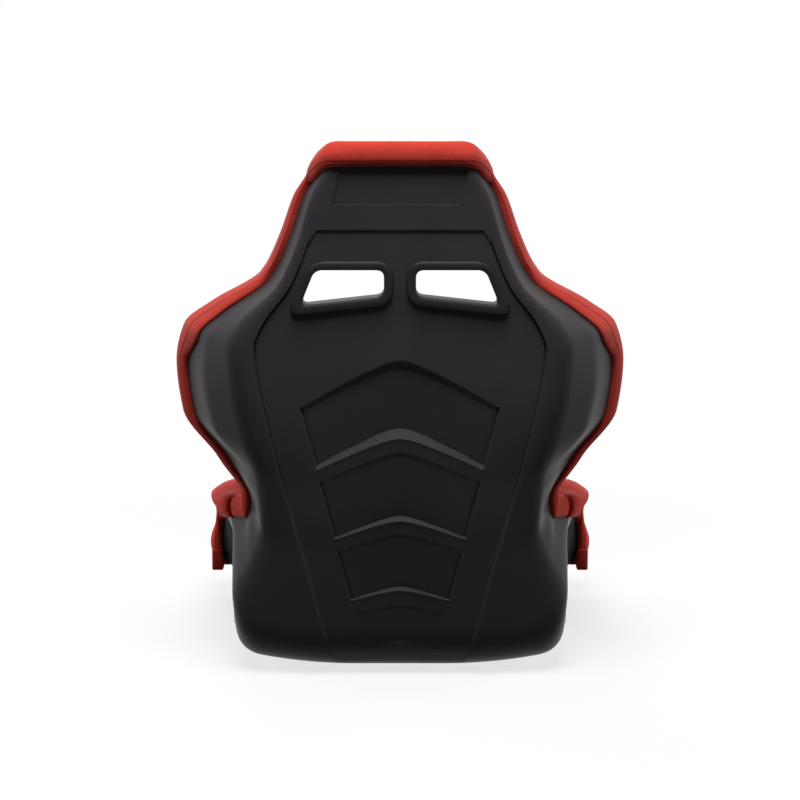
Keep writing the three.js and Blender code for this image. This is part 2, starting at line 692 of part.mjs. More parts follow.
function makeLipCover() {
  const half = [line.pocketOut, line.floor];
  const stops = [...half.map((u) => -u).reverse(), 0, ...half].map(frontStop(lipFill));
  return makeRoll(stops.reverse(), lipRoll);
}

// ---- Belt slots ---------------------------------------------------------------------------------

// Grows a convex outline, given anticlockwise, by moving each side outwards.
function grown(points, grow) {
  return points.map((point, k) => {
    const before = points.at(k - 1);
    const after = points[(k + 1) % points.length];
    const [into, out] = [point.clone().sub(before).normalize(), after.clone().sub(point).normalize()];
    const away = new THREE.Vector2(into.y, -into.x);
    const mitre = new THREE.Vector2(out.y, -out.x).add(away).normalize();
    return point.clone().addScaledVector(mitre, grow / mitre.dot(away));
  });
}

function roundedOutline(points, radius, Kind = THREE.Shape) {
  const outline = new Kind();
  points.forEach((point, k) => {
    const before = points.at(k - 1);
    const after = points[(k + 1) % points.length];
    const from = point.clone().lerp(before, Math.min(radius / point.distanceTo(before), 0.49));
    const to = point.clone().lerp(after, Math.min(radius / point.distanceTo(after), 0.49));
    if (k === 0) outline.moveTo(from.x, from.y);
    else outline.lineTo(from.x, from.y);
    outline.quadraticCurveTo(point.x, point.y, to.x, to.y);
  });
  outline.closePath();
  return outline;
}

// A solid of an outline, from one depth to another, in a slot's own axes.
function slotSolid(slot, { grow, hole, from, to }) {
  const shape = roundedOutline(grown(slot.outline, grow), slotCorner + grow);
  if (hole !== undefined) {
    shape.holes.push(roundedOutline(grown(slot.outline, hole), slotCorner + hole, THREE.Path));
  }
  const solid = new THREE.ExtrudeGeometry(shape, { depth: to - from, bevelEnabled: false, curveSegments: 4 });
  return weld(solid.translate(0, 0, from).applyMatrix4(slot.frame));
}

const frameOf = (x, y, z, origin) => new THREE.Matrix4().makeBasis(x, y, z).setPosition(origin);
const vector = (x, y, z) => new THREE.Vector3(x, y, z);
const rectangle = (length, height) =>
  [[-1, -1], [1, -1], [1, 1], [-1, 1]].map(([a, b]) => new THREE.Vector2((a * length) / 2, (b * height) / 2));

// Shoulder slots run straight forward through the leaning back.
function shoulderSlot(side) {
  const centre = spinePoint(head(shoulderSlotPlace));
  const up = vector(0, Math.cos(centre.heading), Math.sin(centre.heading));
  const corners = [
    [shoulderSlotInner, shoulderSlotInnerFoot],
    [shoulderSlotInner + shoulderSlotFootWidth, shoulderSlotOuterFoot],
    [shoulderSlotInner + shoulderSlotTopWidth, shoulderSlotTop],
    [shoulderSlotInner, shoulderSlotTop],
  ].map(([x, y]) => new THREE.Vector2(side * x, y));
  return {
    outline: inOrder(-side, corners),
    frame: frameOf(vector(1, 0, 0), up, vector(0, -1, 0), vector(0, centre.y, centre.z)),
    shellFace: panelDepth,
    liningFace: floorFoam,
    bead: beadWidth,
    beadHeight,
  };
}

function lapSlot(side) {
  const centre = vector(side * wallPlane, lapSlotY, lapSlotZ);
  return {
    outline: rectangle(lapSlotLength, lapSlotHeight),
    frame: frameOf(vector(0, -side, 0), vector(0, 0, 1), vector(-side, 0, 0), centre),
    shellFace: 0,
    liningFace: wallFoam,
    bead: smallBead,
    beadHeight: smallBeadHeight,
  };
}

const crotchSlot = {
  outline: rectangle(crotchSlotWidth, crotchSlotLength),
  frame: frameOf(vector(1, 0, 0), vector(0, 1, 0), vector(0, 0, 1), vector(0, crotchSlotY, 0)),
  shellFace: 0,
  liningFace: floorFoam,
  bead: smallBead,
  beadHeight: smallBeadHeight,
};

const farOut = 60; // how far a cutting tool runs past what it cuts
const slotTool = (slot, grow = sleeveWall + gap) =>
  slotSolid(slot, { grow, from: -farOut, to: slot.liningFace + farOut });
const besideSlot = (side) => slotTool(shoulderSlot(side), beadWidth + gap);

// The outer bezel and the sleeve that lines the slot are one moulding.
function makeOuterTrim(slot) {
  const back = slot.shellFace - gap;
  const bezel = slotSolid(slot, { grow: slot.bead, hole: 0, from: back - slot.beadHeight, to: back });
  const sleeve = slotSolid(slot, { grow: sleeveWall, hole: 0, from: back - 1, to: slot.liningFace + gap });
  return join(bezel, sleeve);
}

function makeInnerTrim(slot) {
  const from = slot.liningFace + gap;
  return slotSolid(slot, { grow: slot.bead, hole: sleeveWall + gap, from, to: from + slot.beadHeight });
}

// The crotch slot has its bezel inside only, because the seat stands on the pan's underside.
function makeCrotchTrim() {
  const from = crotchSlot.liningFace + gap;
  const bezel = slotSolid(crotchSlot, { grow: smallBead, hole: 0, from, to: from + smallBeadHeight });
  return join(bezel, slotSolid(crotchSlot, { grow: sleeveWall, hole: 0, from: gap, to: from + 1 }));
}

// ---- Side mounts --------------------------------------------------------------------------------

const mountYs = { rear: mountSpacing / 2, front: -mountSpacing / 2 };

// A turned ring about the X axis: outline points are [radius, distance outwards from the side wall].
function turned(outline, side, y) {
  const points = [...outline, outline[0]].map(([radius, height]) => new THREE.Vector2(radius, height));
  const ring = new THREE.LatheGeometry(points, roundSegments);
  ring.rotateZ((-side * Math.PI) / 2);
  return weld(ring.translate(side * wallPlane, y, mountHeight));
}

const boltHole = (radius, side, y) => {
  const rod = new THREE.CylinderGeometry(radius, radius, 2 * farOut, roundSegments);
  return weld(rod.rotateZ(Math.PI / 2).translate(side * wallPlane, y, mountHeight));
};

function makeInsert(side, y) {
  const inner = -shellWall;
  const outline = [
    [threadRadius, inner],
    [insertRadius, inner],
    [insertRadius, gap],
    [insertFlange, gap],
    [insertFlange, gap + insertFlangeHeight],
    [threadRadius, gap + insertFlangeHeight],
  ];
  return turned(outline, side, y);
}

function plateBox(side, grow) {
  const length = mountSpacing + 2 * plateMargin + 2 * grow;
  const box = new THREE.BoxGeometry(plateThickness + 2 * grow, length, plateHeight + 2 * grow);
  const x = side * (wallPlane - shellWall - gap - plateThickness / 2);
  return box.translate(x, 0, mountHeight);
}

const boltHoles = (side, radius) => Object.values(mountYs).map((y) => boltHole(radius, side, y));
const makePlate = (side) => cut(plateBox(side, 0), ...boltHoles(side, threadRadius));

// ---- Linings, bolsters and cushions -------------------------------------------------------------

const panSeam = heel(0.58);
const headSeam = head(0.55);
const allLines = lengthwise(-line.rim, line.rim);
const floorLines = lengthwise(-line.floor, line.floor);
const shellLines = (side) =>
  side < 0 ? lengthwise(-line.rim, -line.floor) : lengthwise(line.floor, line.rim);
const wallLines = (side) =>
  side < 0 ? lengthwise(-line.cover, -line.floor) : lengthwise(line.floor, line.cover);

// Point at a height above the lining's face.
function aboveLining(u, row, height) {
  return liningPoint(u, row.s).addScaledVector(normalAt(liningPoint, u, row.s), -height);
}

function makeStrip(columns, places) {
  const layer = (height) => gridOf(places, columns, (u, row) => aboveLining(u, row, height));
  return bentBox(layer(gap), layer(gap + stripThickness));
}

// A loose cushion: flat towards the strips, crowned on its face and thinner along its border.
function makeCushion(columns, places, thickness) {
  const back = gridOf(places, columns, (u, row) => aboveLining(u, row, 2 * gap + stripThickness));
  const share = (index, last) => (index === 0 || index === last ? cushionEdge : 1);
  const face = places.map((row, j) =>
    columns.map((u, i) => {
      const full = Math.min(share(i, columns.length - 1), share(j, places.length - 1));
      return aboveLining(u, row, 2 * gap + stripThickness + full * thickness);
    }),
  );
  return bentBox(insetGrid(back, cushionSeam), insetGrid(face, cushionSeam));
}

const seatRows = rowsBetween(84, heel(0.15));
const lumbarRows = rowsBetween(chevrons[1].ledge, shoulder(0.3));
const headRows = rowsBetween(panelTop, head(0.87));

// ---- The assembly -------------------------------------------------------------------------------

const finishes = {
  gelcoat: { color: "#1d1b1d", roughness: 0.38, metalness: 0 },
  redFabric: { color: "#a8382d", roughness: 0.85, metalness: 0 },
  blackFabric: { color: "#222224", roughness: 0.9, metalness: 0 },
  trim: { color: "#141315", roughness: 0.35, metalness: 0 },
  hook: { color: "#101010", roughness: 0.95, metalness: 0 },
  steel: { color: "#a6a9ac", roughness: 0.4, metalness: 1 },
};

const seat = new THREE.Group();

function add(name, finish, geometry) {
  const mesh = new THREE.Mesh(geometry, new THREE.MeshStandardMaterial(finishes[finish]));
  mesh.name = name;
  seat.add(mesh);
}

const sides = { left: 1, right: -1 };
const bothSides = Object.values(sides);
const shoulderCuts = bothSides.map((side) => slotTool(shoulderSlot(side)));
const crotchCut = slotTool(crotchSlot);

const panPad = makePad(floorLines, rowsBetween(coverInnerLeg, panSeam));
const backPad = makePad(floorLines, rowsBetween(panSeam, headSeam));
const headLining = makePad(floorLines, rowsBetween(headSeam, topSeam));
const seatPad = makeCushion(floorLines, seatRows, seatCushion);

add("shell_pan", "gelcoat", cut(makePanel(floorLines, rowsBetween(0, panSeam)), crotchCut));
add("shell_back", "gelcoat", makePanel(floorLines, rowsBetween(panSeam, vEnd)));
add("shell_head", "gelcoat", cut(makePanel(allLines, rowsBetween(vEnd, spineLength)), ...shoulderCuts));
add("head_cover", "redFabric", clearOfShell(makeHeadCover()));
add("front_lip_cover", "redFabric", clearOfShell(makeLipCover()));
add("pan_lining", "blackFabric", cut(panPad, crotchCut));
add("back_lining", "blackFabric", cut(backPad, ...shoulderCuts));
add("head_lining", "blackFabric", headLining);
add("seat_cushion", "blackFabric", cut(seatPad, slotTool(crotchSlot, smallBead + cushionSeam)));
add("lumbar_cushion", "blackFabric", makeCushion(floorLines, lumbarRows, lumbarCushion));
add("head_cushion", "blackFabric", makeCushion(floorLines, headRows, headCushion));
add("crotch_slot_trim", "trim", makeCrotchTrim());

function addShellSides(name, side) {
  const columns = shellLines(side);
  const wall = makePanel(columns, rowsBetween(0, hipSeam));
  const holes = boltHoles(side, insertRadius + gap);
  add("shell_wall_" + name, "gelcoat", cut(wall, slotTool(lapSlot(side)), ...holes));
  add("shell_wing_" + name, "gelcoat", makePanel(columns, rowsBetween(hipSeam, vEnd)));
}

function addCovers(name, side) {
  add("side_cover_" + name, "redFabric", clearOfShell(makeSideCover(side)));
  add("thigh_cover_" + name, "redFabric", clearOfShell(makeThighCover(side)));
}

function addBolsters(name, side) {
  const lines = wallLines(side);
  const thigh = makePad(lines, rowsBetween(coverInnerLeg, hipSeam));
  const headPad = makePad(lines, rowsBetween(vEnd, topSeam));
  add("thigh_bolster_" + name, "redFabric", cut(thigh, slotTool(lapSlot(side)), plateBox(side, gap)));
  add("side_bolster_" + name, "redFabric", makePad(lines, rowsBetween(hipSeam, vEnd)));
  add("head_bolster_" + name, "redFabric", cut(headPad, besideSlot(side), headLining));
}

function addSlotTrim(name, side) {
  add("shoulder_slot_trim_" + name, "trim", makeOuterTrim(shoulderSlot(side)));
  add("shoulder_slot_bezel_" + name, "trim", makeInnerTrim(shoulderSlot(side)));
  add("lap_slot_trim_" + name, "trim", makeOuterTrim(lapSlot(side)));
  add("lap_slot_bezel_" + name, "trim", makeInnerTrim(lapSlot(side)));
}

function addMounts(name, side) {
  add("mount_plate_" + name, "steel", makePlate(side));
  for (const [end, y] of Object.entries(mountYs)) {
    add("mount_insert_" + end + "_" + name, "steel", makeInsert(side, y));
  }
}

function addStrips(name, side) {
  const columns = [line.panel, line.panelOut].map((u) => side * u).sort((a, b) => a - b);
  add("seat_hook_strip_" + name, "hook", makeStrip(columns, seatRows.slice(1, -1)));
  add("lumbar_hook_strip_" + name, "hook", makeStrip(columns, lumbarRows.slice(1, -1)));
  add("head_hook_strip_" + name, "hook", makeStrip(columns, headRows));
}

for (const [name, side] of Object.entries(sides)) {
  addShellSides(name, side);
  addCovers(name, side);
  addBolsters(name, side);
  addSlotTrim(name, side);
  addMounts(name, side);
  addStrips(name, side);
}

export default seat;
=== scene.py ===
"""Fixed-back racing seat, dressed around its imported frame.

The seat faces -Y and stands on its pan at Z = 0. Sizes in the surface classes are millimetres, as the seat's
drawing gives them; every mesh is in metres.
"""
import json
import logging
import math
from dataclasses import dataclass, field
from enum import Enum
from typing import Callable, Sequence

import bmesh
import bpy
import numpy as np
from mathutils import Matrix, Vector

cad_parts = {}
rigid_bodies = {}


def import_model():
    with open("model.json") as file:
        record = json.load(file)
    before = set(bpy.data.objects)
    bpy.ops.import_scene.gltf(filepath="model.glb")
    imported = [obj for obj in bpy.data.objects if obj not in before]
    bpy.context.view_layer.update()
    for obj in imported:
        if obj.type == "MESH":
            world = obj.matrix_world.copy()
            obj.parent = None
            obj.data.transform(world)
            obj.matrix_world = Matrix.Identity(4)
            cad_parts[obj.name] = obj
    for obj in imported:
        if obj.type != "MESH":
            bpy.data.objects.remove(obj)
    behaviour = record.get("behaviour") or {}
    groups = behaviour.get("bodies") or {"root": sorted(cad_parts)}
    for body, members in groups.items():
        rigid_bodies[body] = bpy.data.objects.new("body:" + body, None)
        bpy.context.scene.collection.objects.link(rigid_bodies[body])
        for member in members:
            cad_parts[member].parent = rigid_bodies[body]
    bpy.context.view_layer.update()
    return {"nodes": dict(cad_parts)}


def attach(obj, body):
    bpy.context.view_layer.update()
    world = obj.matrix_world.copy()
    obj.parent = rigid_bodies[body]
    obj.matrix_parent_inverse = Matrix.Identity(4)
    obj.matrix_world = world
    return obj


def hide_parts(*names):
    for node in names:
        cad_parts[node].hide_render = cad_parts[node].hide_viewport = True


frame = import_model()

MM = 0.001
log = logging.getLogger("seat")
Array = np.ndarray
Place = tuple[float, float]
Place3 = tuple[float, float, float]
Colour = tuple[float, float, float, float]
RIGHTWARD, BACKWARD, UPWARD = (1.0, 0.0, 0.0), (0.0, 1.0, 0.0), (0.0, 0.0, 1.0)


# ---- Surfaces of the seat ----


class Face(Enum):
    """The two surfaces that every piece is laid on."""

    OUTER = "outer"
    LINING = "lining"


class Line:
    """Lengthwise lines of the seat's surfaces, counted from its plane of symmetry."""

    POCKET, POCKET_OUT, PANEL, PANEL_OUT, FLOOR = 1, 2, 3, 4, 5
    CORNER, CREASE, FLARE, COVER, RIM = 8, 9, 10, 11, 12


def mix(a: Array, b: Array, t: Array) -> Array:
    """Blends a into b by t."""
    return a + (b - a) * t


def smooth(value: Array, low: float, high: float) -> Array:
    """Smooth step from 0 at low to 1 at high."""
    t = np.clip((value - low) / (high - low), 0, 1)
    return t * t * (3 - 2 * t)


@dataclass(frozen=True)
class Spine:
    """The shell's outside on the plane of symmetry, as lines and arcs from the front lip to the head."""

    lip: float = 25
    lip_radius: float = 120
    lip_angle: float = 45
    pan: float = 247.5
    heel_radius: float = 100
    lower_lean: float = 16
    lumbar: float = 167.5
    shoulder: float = 190
    upper_lean: float = 9
    head: float = 296
    heel_y: float = 134.5

    def segments(self) -> list[tuple[str, float, float]]:
        """Lists the segments.

        Returns:
            The name, length and turn in radians of each.
        """
        lip_turn = math.radians(self.lip_angle)
        heel_turn = math.radians(90 - self.lower_lean)
        return [
            ("lip", self.lip, 0.0),
            ("lip_curve", self.lip_radius * lip_turn, lip_turn),
            ("pan", self.pan, 0.0),
            ("heel", self.heel_radius * heel_turn, heel_turn),
            ("lumbar", self.lumbar, 0.0),
            ("shoulder", self.shoulder, math.radians(self.lower_lean - self.upper_lean)),
            ("head", self.head, 0.0),
        ]

    def starts(self) -> dict[str, float]:
        """Finds the segments' starts.

        Returns:
            Where each segment starts along the spine, by name.
        """
        start, found = 0.0, {}
        for name, length, _ in self.segments():
            found[name] = start
            start += length
        return found

    @property
    def length(self) -> float:
        """The spine's whole length."""
        return sum(length for _, length, _ in self.segments())

    def placed(self) -> Array:
        """Places the segments one after the other.

        Returns:
            A row for each segment: start, y, z, heading and curvature.
        """
        y = z = start = 0.0
        heading = -math.radians(self.lip_angle)
        rows = []
        for _, length, turn in self.segments():
            curve = turn / length
            rows.append([start, y, z, heading, curve])
            if curve:
                y += (math.sin(heading + turn) - math.sin(heading)) / curve
                z -= (math.cos(heading + turn) - math.cos(heading)) / curve
            else:
                y += length * math.cos(heading)
                z += length * math.sin(heading)
            heading += turn
            start += length
        table = np.array(rows)
        heel = table[3].copy()
        table[:, 1] += self.heel_y - heel[1]
        table[:, 2] -= heel[2]
        return table

    def at(self, s: Array) -> tuple[Array, Array, Array]:
        """Finds places on the spine.

        Args:
            s: Distances along it.

        Returns:
            Their y, z and heading.
        """
        table = self.placed()
        k = np.clip(np.searchsorted(table[:, 0], s, "right") - 1, 0, len(table) - 1)
        start, y, z, heading, curve = np.moveaxis(table[k], -1, 0)
        ahead = s - start
        safe = np.where(curve == 0, 1, curve)
        turned = heading + ahead * curve
        arc_y = (np.sin(turned) - np.sin(heading)) / safe
        arc_z = -(np.cos(turned) - np.cos(heading)) / safe
        return (
            y + np.where(curve == 0, ahead * np.cos(heading), arc_y),
            z + np.where(curve == 0, ahead * np.sin(heading), arc_z),
            turned,
        )


SPINE = Spine()
START = SPINE.starts()


def along(segment: str, share: float) -> float:
    """Gives the place at a share of one of the spine's segments."""
    lengths = {name: length for name, length, _ in SPINE.segments()}
    return START[segment] + share * lengths[segment]


@dataclass(frozen=True)
class Station:
    """One cross-section: rim, panel, corner and crease half-widths, and the shape between them."""

    s: float
    rim: float
    back: float
    up: float
    panel: float
    corner: float
    crease: float
    crease_share: float
    dish: float
    crest: float
    round: float
    soft: float


WALL = 224.0
SHELL_WALL = 4.5
STATIONS = [
    Station(0, 273, -1, 56, 70, 279, 280, 0.6, 9, 0, 14, 12),
    Station(30, 271, -14, 103, 70, 257, 264, 0.5, 11, 4, 22, 24),
    Station(62, 271, -27, 138, 70, 238, 246, 0.5, 13, 12, 30, 28),
    Station(84, 270, -41, 153, 70, WALL, WALL, 0.62, 15, 18, 34, 24),
    Station(along("pan", 0.2), 268, -53, 174, 70, WALL, WALL, 0.68, 17, 20, 36, 28),
    Station(along("pan", 0.6), 261, -59, 194, 72, WALL, WALL, 0.74, 18, 27, 36, 28),
    Station(along("heel", 0), 249, -68, 209, 78, WALL, WALL, 0.76, 19, 24, 36, 28),
    Station(along("heel", 0.35), 244, -88, 201, 84, WALL, WALL, 0.75, 19, 18, 38, 28),
    Station(along("heel", 0.65), 238, -98, 183, 90, WALL, WALL, 0.74, 18, 8, 42, 28),
    Station(along("heel", 1), 226, -102, 147, 101, WALL, 226, 0.6, 17, 0, 40, 28),
    Station(along("lumbar", 0.465), 203, -76, 84, 118, 197, 203, 0.5, 15, 0, 34, 26),
    Station(along("lumbar", 0.82), 203, -88, 48, 132, 180, 190, 0.45, 12, 0, 24, 20),
    Station(along("shoulder", 0.24), 236, -118, 22, 149, 180, 198, 0.34, 8, 0, 20, 12),
    Station(along("shoulder", 0.58), 282, -148, 18, 162, 194, 243, 0.4, 3, 0, 20, 10),
    Station(along("shoulder", 0.95), 288, -150, 12, 175, 206, 254, 0.44, 0, 0, 20, 10),
    Station(along("head", 0.15), 277, -138, 8, 181, 210, 250, 0.48, 0, 0, 20, 12),
    Station(along("head", 0.26), 242, -118, 6, 168, 196, 220, 0.5, 0, 0, 18, 12),
    Station(along("head", 0.43), 172, -88, 2, 132, 150, 162, 0.5, 0, 0, 10, 12),
    Station(along("head", 0.62), 144, -68, -1, 110, 125, 136, 0.5, 0, 0, 8, 12),
    Station(along("head", 0.81), 126, -58, -8, 92, 108, 118, 0.5, 0, 0, 8, 12),
    Station(along("head", 1), 106, -44, -22, 70, 84, 97, 0.45, 0, 0, 10, 12),
]


class Profile:
    """Smooth curves through the stations' values, which never swing past a station."""

    def __init__(self, stations: Sequence[Station]) -> None:
        """Works out each value's slopes.

        Args:
            stations: The cross-sections, in order.
        """
        self.s = np.array([one.s for one in stations])
        names = Station.__dataclass_fields__
        self.values = {n: np.array([getattr(one, n) for one in stations], float) for n in names}
        self.slopes = {n: self._steady(v) for n, v in self.values.items()}

    def _steady(self, values: Array) -> Array:
        """Works out slopes that keep a curve within its neighbours' values.

        Args:
            values: One value at every station.

        Returns:
            The curve's slope at every station.
        """
        steps = np.diff(values) / np.diff(self.s)
        before, after = steps[:-1], steps[1:]
        rising = before * after > 0
        safe = np.where(rising, before + after, 1)
        inner = np.where(rising, 2 * before * after / safe, 0)
        return np.concatenate([[0], inner, [0]])

    def read(self, name: str, s: Array) -> Array:
        """Reads one value.

        Args:
            name: A field of the stations.
            s: Places along the spine.

        Returns:
            The value there.
        """
        k = np.clip(np.searchsorted(self.s, s, "right") - 1, 0, len(self.s) - 2)
        span = self.s[k + 1] - self.s[k]
        t = np.clip((s - self.s[k]) / span, 0, 1)
        value, slope = self.values[name], self.slopes[name]
        ahead = t * t * (3 - 2 * t)
        bulge = t * (1 - t) * span
        return mix(value[k], value[k + 1], ahead) + bulge * ((1 - t) * slope[k] - t * slope[k + 1])


@dataclass(frozen=True)
class Pocket:
    """A sunk V-shaped pocket in the shell's back, from its ledge up to its top.

    The run is the ledge's width, and the step is the share of the depth that the pocket takes at its top.
    """

    top: float
    ledge: float
    depth: float
    run: float
    step: float


@dataclass(frozen=True)
class Relief:
    """The sunk areas of the shell's back."""

    panel_low: float = 2.4
    panel_extra: float = 2.4
    panel_edge: float = 6
    top_edge_share: float = 0.6
    panel_slope: float = 0.7
    panel_round: float = 13
    round_reach: float = 0.35
    pocket_low: float = 64
    pocket_high: float = 138
    pocket_least: float = 0.8
    pocket_edge: float = 4
    pocket_taper: float = 0.6
    slope_low: float = 0.23
    slope_high: float = 0.45
    apex: float = 16
    lip: float = 1.3
    lip_fade: float = 5
    lip_reach: float = 6
    full_lip_depth: float = 8
    step_run: float = 9
    run_taper: float = 0.55
    groove: float = 2.4
    groove_line: float = Line.POCKET + 0.5
    groove_half: float = 0.42
    groove_full: float = 2
    panel_groove: float = 3.2
    panel_groove_half: float = 0.26
    lowest_v: float = along("lumbar", 0.31)
    highest_v: float = along("head", 0.093)
    panel_foot: float = along("heel", 0.3)
    panel_full: float = along("heel", 0.58)
    panel_top: float = along("head", 0.657)
    pockets: tuple[Pocket, ...] = (
        Pocket(along("lumbar", 0.22), along("heel", 0.75), 3, 9, 0.3),
        Pocket(along("lumbar", 0.86), along("lumbar", 0.345), 7, 1.8, 0.14),
        Pocket(along("shoulder", 0.49), along("lumbar", 0.97), 9, 2.6, 0.14),
        Pocket(along("head", 0.093), along("shoulder", 0.59), 16, 8, 0.36),
    )

    def v_share(self, s: Array) -> Array:
        """Gives how far a place lies from the lowest V to the highest."""
        return (s - self.lowest_v) / (self.highest_v - self.lowest_v)

    def pocket_half(self, s: Array) -> Array:
        """Gives the pockets' half-width at s."""
        width = mix(self.pocket_low, self.pocket_high, self.v_share(s))
        return np.maximum(width, self.pocket_least * self.pocket_low)

    def fall(self, s: Array) -> Array:
        """Works out how much the crosswise lines fall away from the centre.

        Args:
            s: Crosswise lines.

        Returns:
            Their slope, as millimetres along the spine for one sideways.
        """
        rising = smooth(s, along("heel", 0.3), along("heel", 0.85))
        falling = 1 - smooth(s, self.highest_v, along("head", 0.27))
        return mix(self.slope_low, self.slope_high, self.v_share(s)) * rising * falling

    def bow(self, x: Array) -> Array:
        """Gives a distance from the centre with the V's apex rounded, up to a scale."""
        return np.sqrt(x**2 + self.apex**2) - self.apex

    def rounded_v(self, x: Array, s: Array) -> Array:
        """Gives how far along a V's leg a place counts, with the V's apex rounded."""
        half = self.pocket_half(s)
        return self.bow(np.minimum(x, half)) * half / self.bow(half)

    def pocket_profile(self, a: Array, s: Array) -> Array:
        """Gives the pockets' depth, with each ledge narrower away from the centre.

        Args:
            a: Lengthwise lines, counted from the centre.
            s: Crosswise lines.

        Returns:
            The depth in millimetres.
        """
        depth = np.zeros_like(s)
        for pocket in self.pockets:
            run = pocket.run * (1 - self.run_taper * np.minimum(a, 1))
            climb = np.clip((s - pocket.ledge) / run, 0, 1)
            down = np.clip(pocket.top - s, 0, None)
            sunk = (1 - pocket.step) * down / (pocket.top - pocket.ledge)
            sunk = sunk + pocket.step * smooth(down, 0, self.step_run)
            below = np.clip(pocket.ledge - s, 0, None)
            near = below < self.lip_reach * self.lip_fade
            lip = self.lip * np.exp(-below / self.lip_fade) * (1 - climb) * near
            depth += pocket.depth * climb * sunk - lip * min(pocket.depth / self.full_lip_depth, 1)
        return depth

    def depth(self, u: Array, s: Array) -> Array:
        """Gives how deep the shell's back is sunk.

        Args:
            u: Lengthwise lines.
            s: Crosswise lines.

        Returns:
            The depth in millimetres.
        """
        a = np.abs(u)
        rows = smooth(s, self.panel_foot, self.panel_full)
        level = s + self.panel_round * np.clip((a - Line.PANEL) / self.round_reach + 1, 0, 1) ** 2
        top_end = self.panel_top + self.top_edge_share * self.panel_edge
        rows = rows * (1 - smooth(level, self.panel_top, top_end))
        extra = smooth(s, along("shoulder", 0), along("shoulder", 0.5))
        extra = extra * (1 - smooth(s, along("head", 0.2), along("head", 0.5)))
        sunk = self.panel_low + self.panel_extra * extra
        panel = sunk * (1 - smooth(a, Line.PANEL, Line.PANEL + self.panel_slope)) * rows
        side = 1 - smooth(a, Line.POCKET, Line.POCKET_OUT)
        taper = 1 - self.pocket_taper * np.minimum(a, 1)
        pockets = self.pocket_profile(a, s)
        return panel + pockets * side * taper + self.grooves(a, s, pockets, rows)

    def grooves(self, a: Array, s: Array, pockets: Array, rows: Array) -> Array:
        """Works out the narrow grooves beside the pockets and along the panel's upper edge.

        Args:
            a: Lengthwise lines, counted from the centre.
            s: Crosswise lines.
            pockets: How deep the pockets are there.
            rows: The share of its depth that the panel has there.

        Returns:
            The grooves' depth in millimetres.
        """

        def near(middle: float, half: float) -> Array:
            """Gives a groove's round section, 1 in its middle and 0 past its half-width."""
            return np.clip(1 - ((a - middle) / half) ** 2, 0, 1)

        above = smooth(s, along("lumbar", 0.26), along("lumbar", 0.33))
        beside = self.groove * near(self.groove_line, self.groove_half)
        beside = beside * np.clip(pockets / self.groove_full, 0, 1) * above
        upper = smooth(s, along("lumbar", 0.9), along("shoulder", 0.6)) * rows
        middle = Line.PANEL + self.panel_slope / 2
        return beside + self.panel_groove * near(middle, self.panel_groove_half) * upper


